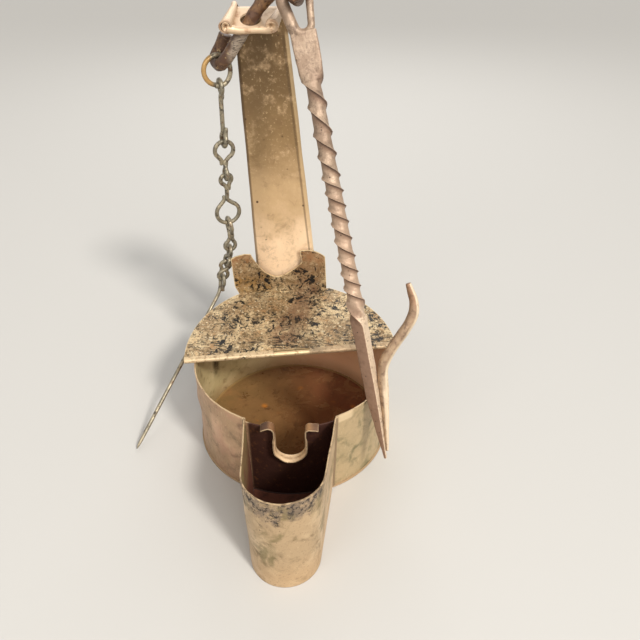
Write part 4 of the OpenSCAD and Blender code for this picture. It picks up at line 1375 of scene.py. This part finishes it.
add("pan_wall", "lamp", "tin_pan", pan_wall(), pan_outside(), pan_inside(), pan_rim)
add("pan_floor", "lamp", "tin_floor", pan_floor(), floor_inside())
add("spout_wall", "lamp", "tin_spout", spout_wall(), spout_outside(), soot_and_light, pan_rim)
add("wick_trough", "lamp", "tin_bright", wick_trough(), trough_inside(), trough_outside(), lip_rim)
add("front_lid", "lid", "tin_lid", front_lid(), lid_outside(), lid_sooted(), rim)
add("handle_strap", "lamp", "tin_handle", handle_strap(), strap, strap, strap_rim)
add("swivel_link", "link", "iron_dark", swivel_link(), rust_and_light)
add("hanger_bar", "hanger", "iron_pale", hanger_bar(), iron_dusty_shaded())
add("hanger_hook", "hanger", "iron_pale", hanger_hook(), iron_horn())
add("chain_ring", "ring", "steel_wire", chain_ring(), wire)
for number in range(len(LINKS)):
    add(f"chain_link_{number + 1}", f"chain_{number + 1}", "steel_wire", chain_link(number), wire)
add("wick_pick", "pick", "steel_wire", wick_pick(), wire)
for node, material in (("rear_cover", rim), ("hinge_wire", rust_and_light), ("spout_floor", soot_and_light)):
    dress(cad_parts[node], material)

# Stage, light and camera


def stage():
    size = 3000
    floor = make_object("floor", [(-size, -size, 0), (size, -size, 0), (size, size, 0), (-size, size, 0)],
                        [(0, 1, 2, 3)])
    p = Paint("Pale floor", 0.0, (190, 188, 184), 0.8)
    dress(floor, p.done())


def point(obj, direction):
    obj.rotation_euler = Vector(direction).to_track_quat("-Z", "Y").to_euler()


def aim(obj, place_mm, target_mm):
    obj.location = Vector(place_mm) * MM
    point(obj, Vector(target_mm) * MM - obj.location)


def add_light(name, kind, energy, colour, **settings):
    data = bpy.data.lights.new(name, kind)
    data.energy = energy
    data.color = colour
    assign(data, settings)
    return new_object(name, data)


def studio(light, seen):
    """Even pale surroundings: light falls on the lamp, seen is what the camera and reflections see."""
    world = bpy.data.worlds.new("Studio")
    bpy.context.scene.world = world
    world.use_nodes = True
    tree = world.node_tree
    back = tree.nodes["Background"]
    back.inputs["Color"].default_value = (1.0, 0.99, 0.97, 1)
    rays = new_node(tree, "LightPath", {})
    either = rays["Is Camera Ray"]
    for name in ("Is Glossy Ray", "Is Transmission Ray"):
        either = new_node(tree, "Math", {0: either, 1: rays[name]}, operation="MAXIMUM")["Value"]
    blend = new_node(tree, "Math", {0: either, 1: seen - light, 2: light}, operation="MULTIPLY_ADD")
    feed(tree, blend["Value"], back.inputs["Strength"])


stage()
WARM = (1.0, 0.97, 0.93)
point(add_light("key", "SUN", 2.6, (1.0, 0.96, 0.9), angle=rad(9)), (-0.42, 0.58, -0.7))
aim(add_light("fill", "AREA", 2.2, WARM, size=400 * MM), (190, -500, 430), (0, 0, 40))
aim(add_light("left", "AREA", 0.8, WARM, size=300 * MM), (-330, -400, 380), (0, 0, 30))
aim(add_light("back", "AREA", 1.2, (1.0, 1.0, 1.0), size=400 * MM), (60, 520, 480), (0, 0, 80))
studio(light=0.45, seen=0.8)

camera_data = bpy.data.cameras.new("camera")
camera_data.lens = 34.875
camera_data.sensor_width = 36
camera_data.clip_start = 0.005
camera = new_object("camera", camera_data)
aim(camera, place_mm=(-0.9, -190.4, 189.6), target_mm=(11.11, 0, 53.0))
bpy.context.scene.camera = camera
bpy.context.scene.view_settings.view_transform = "Standard"
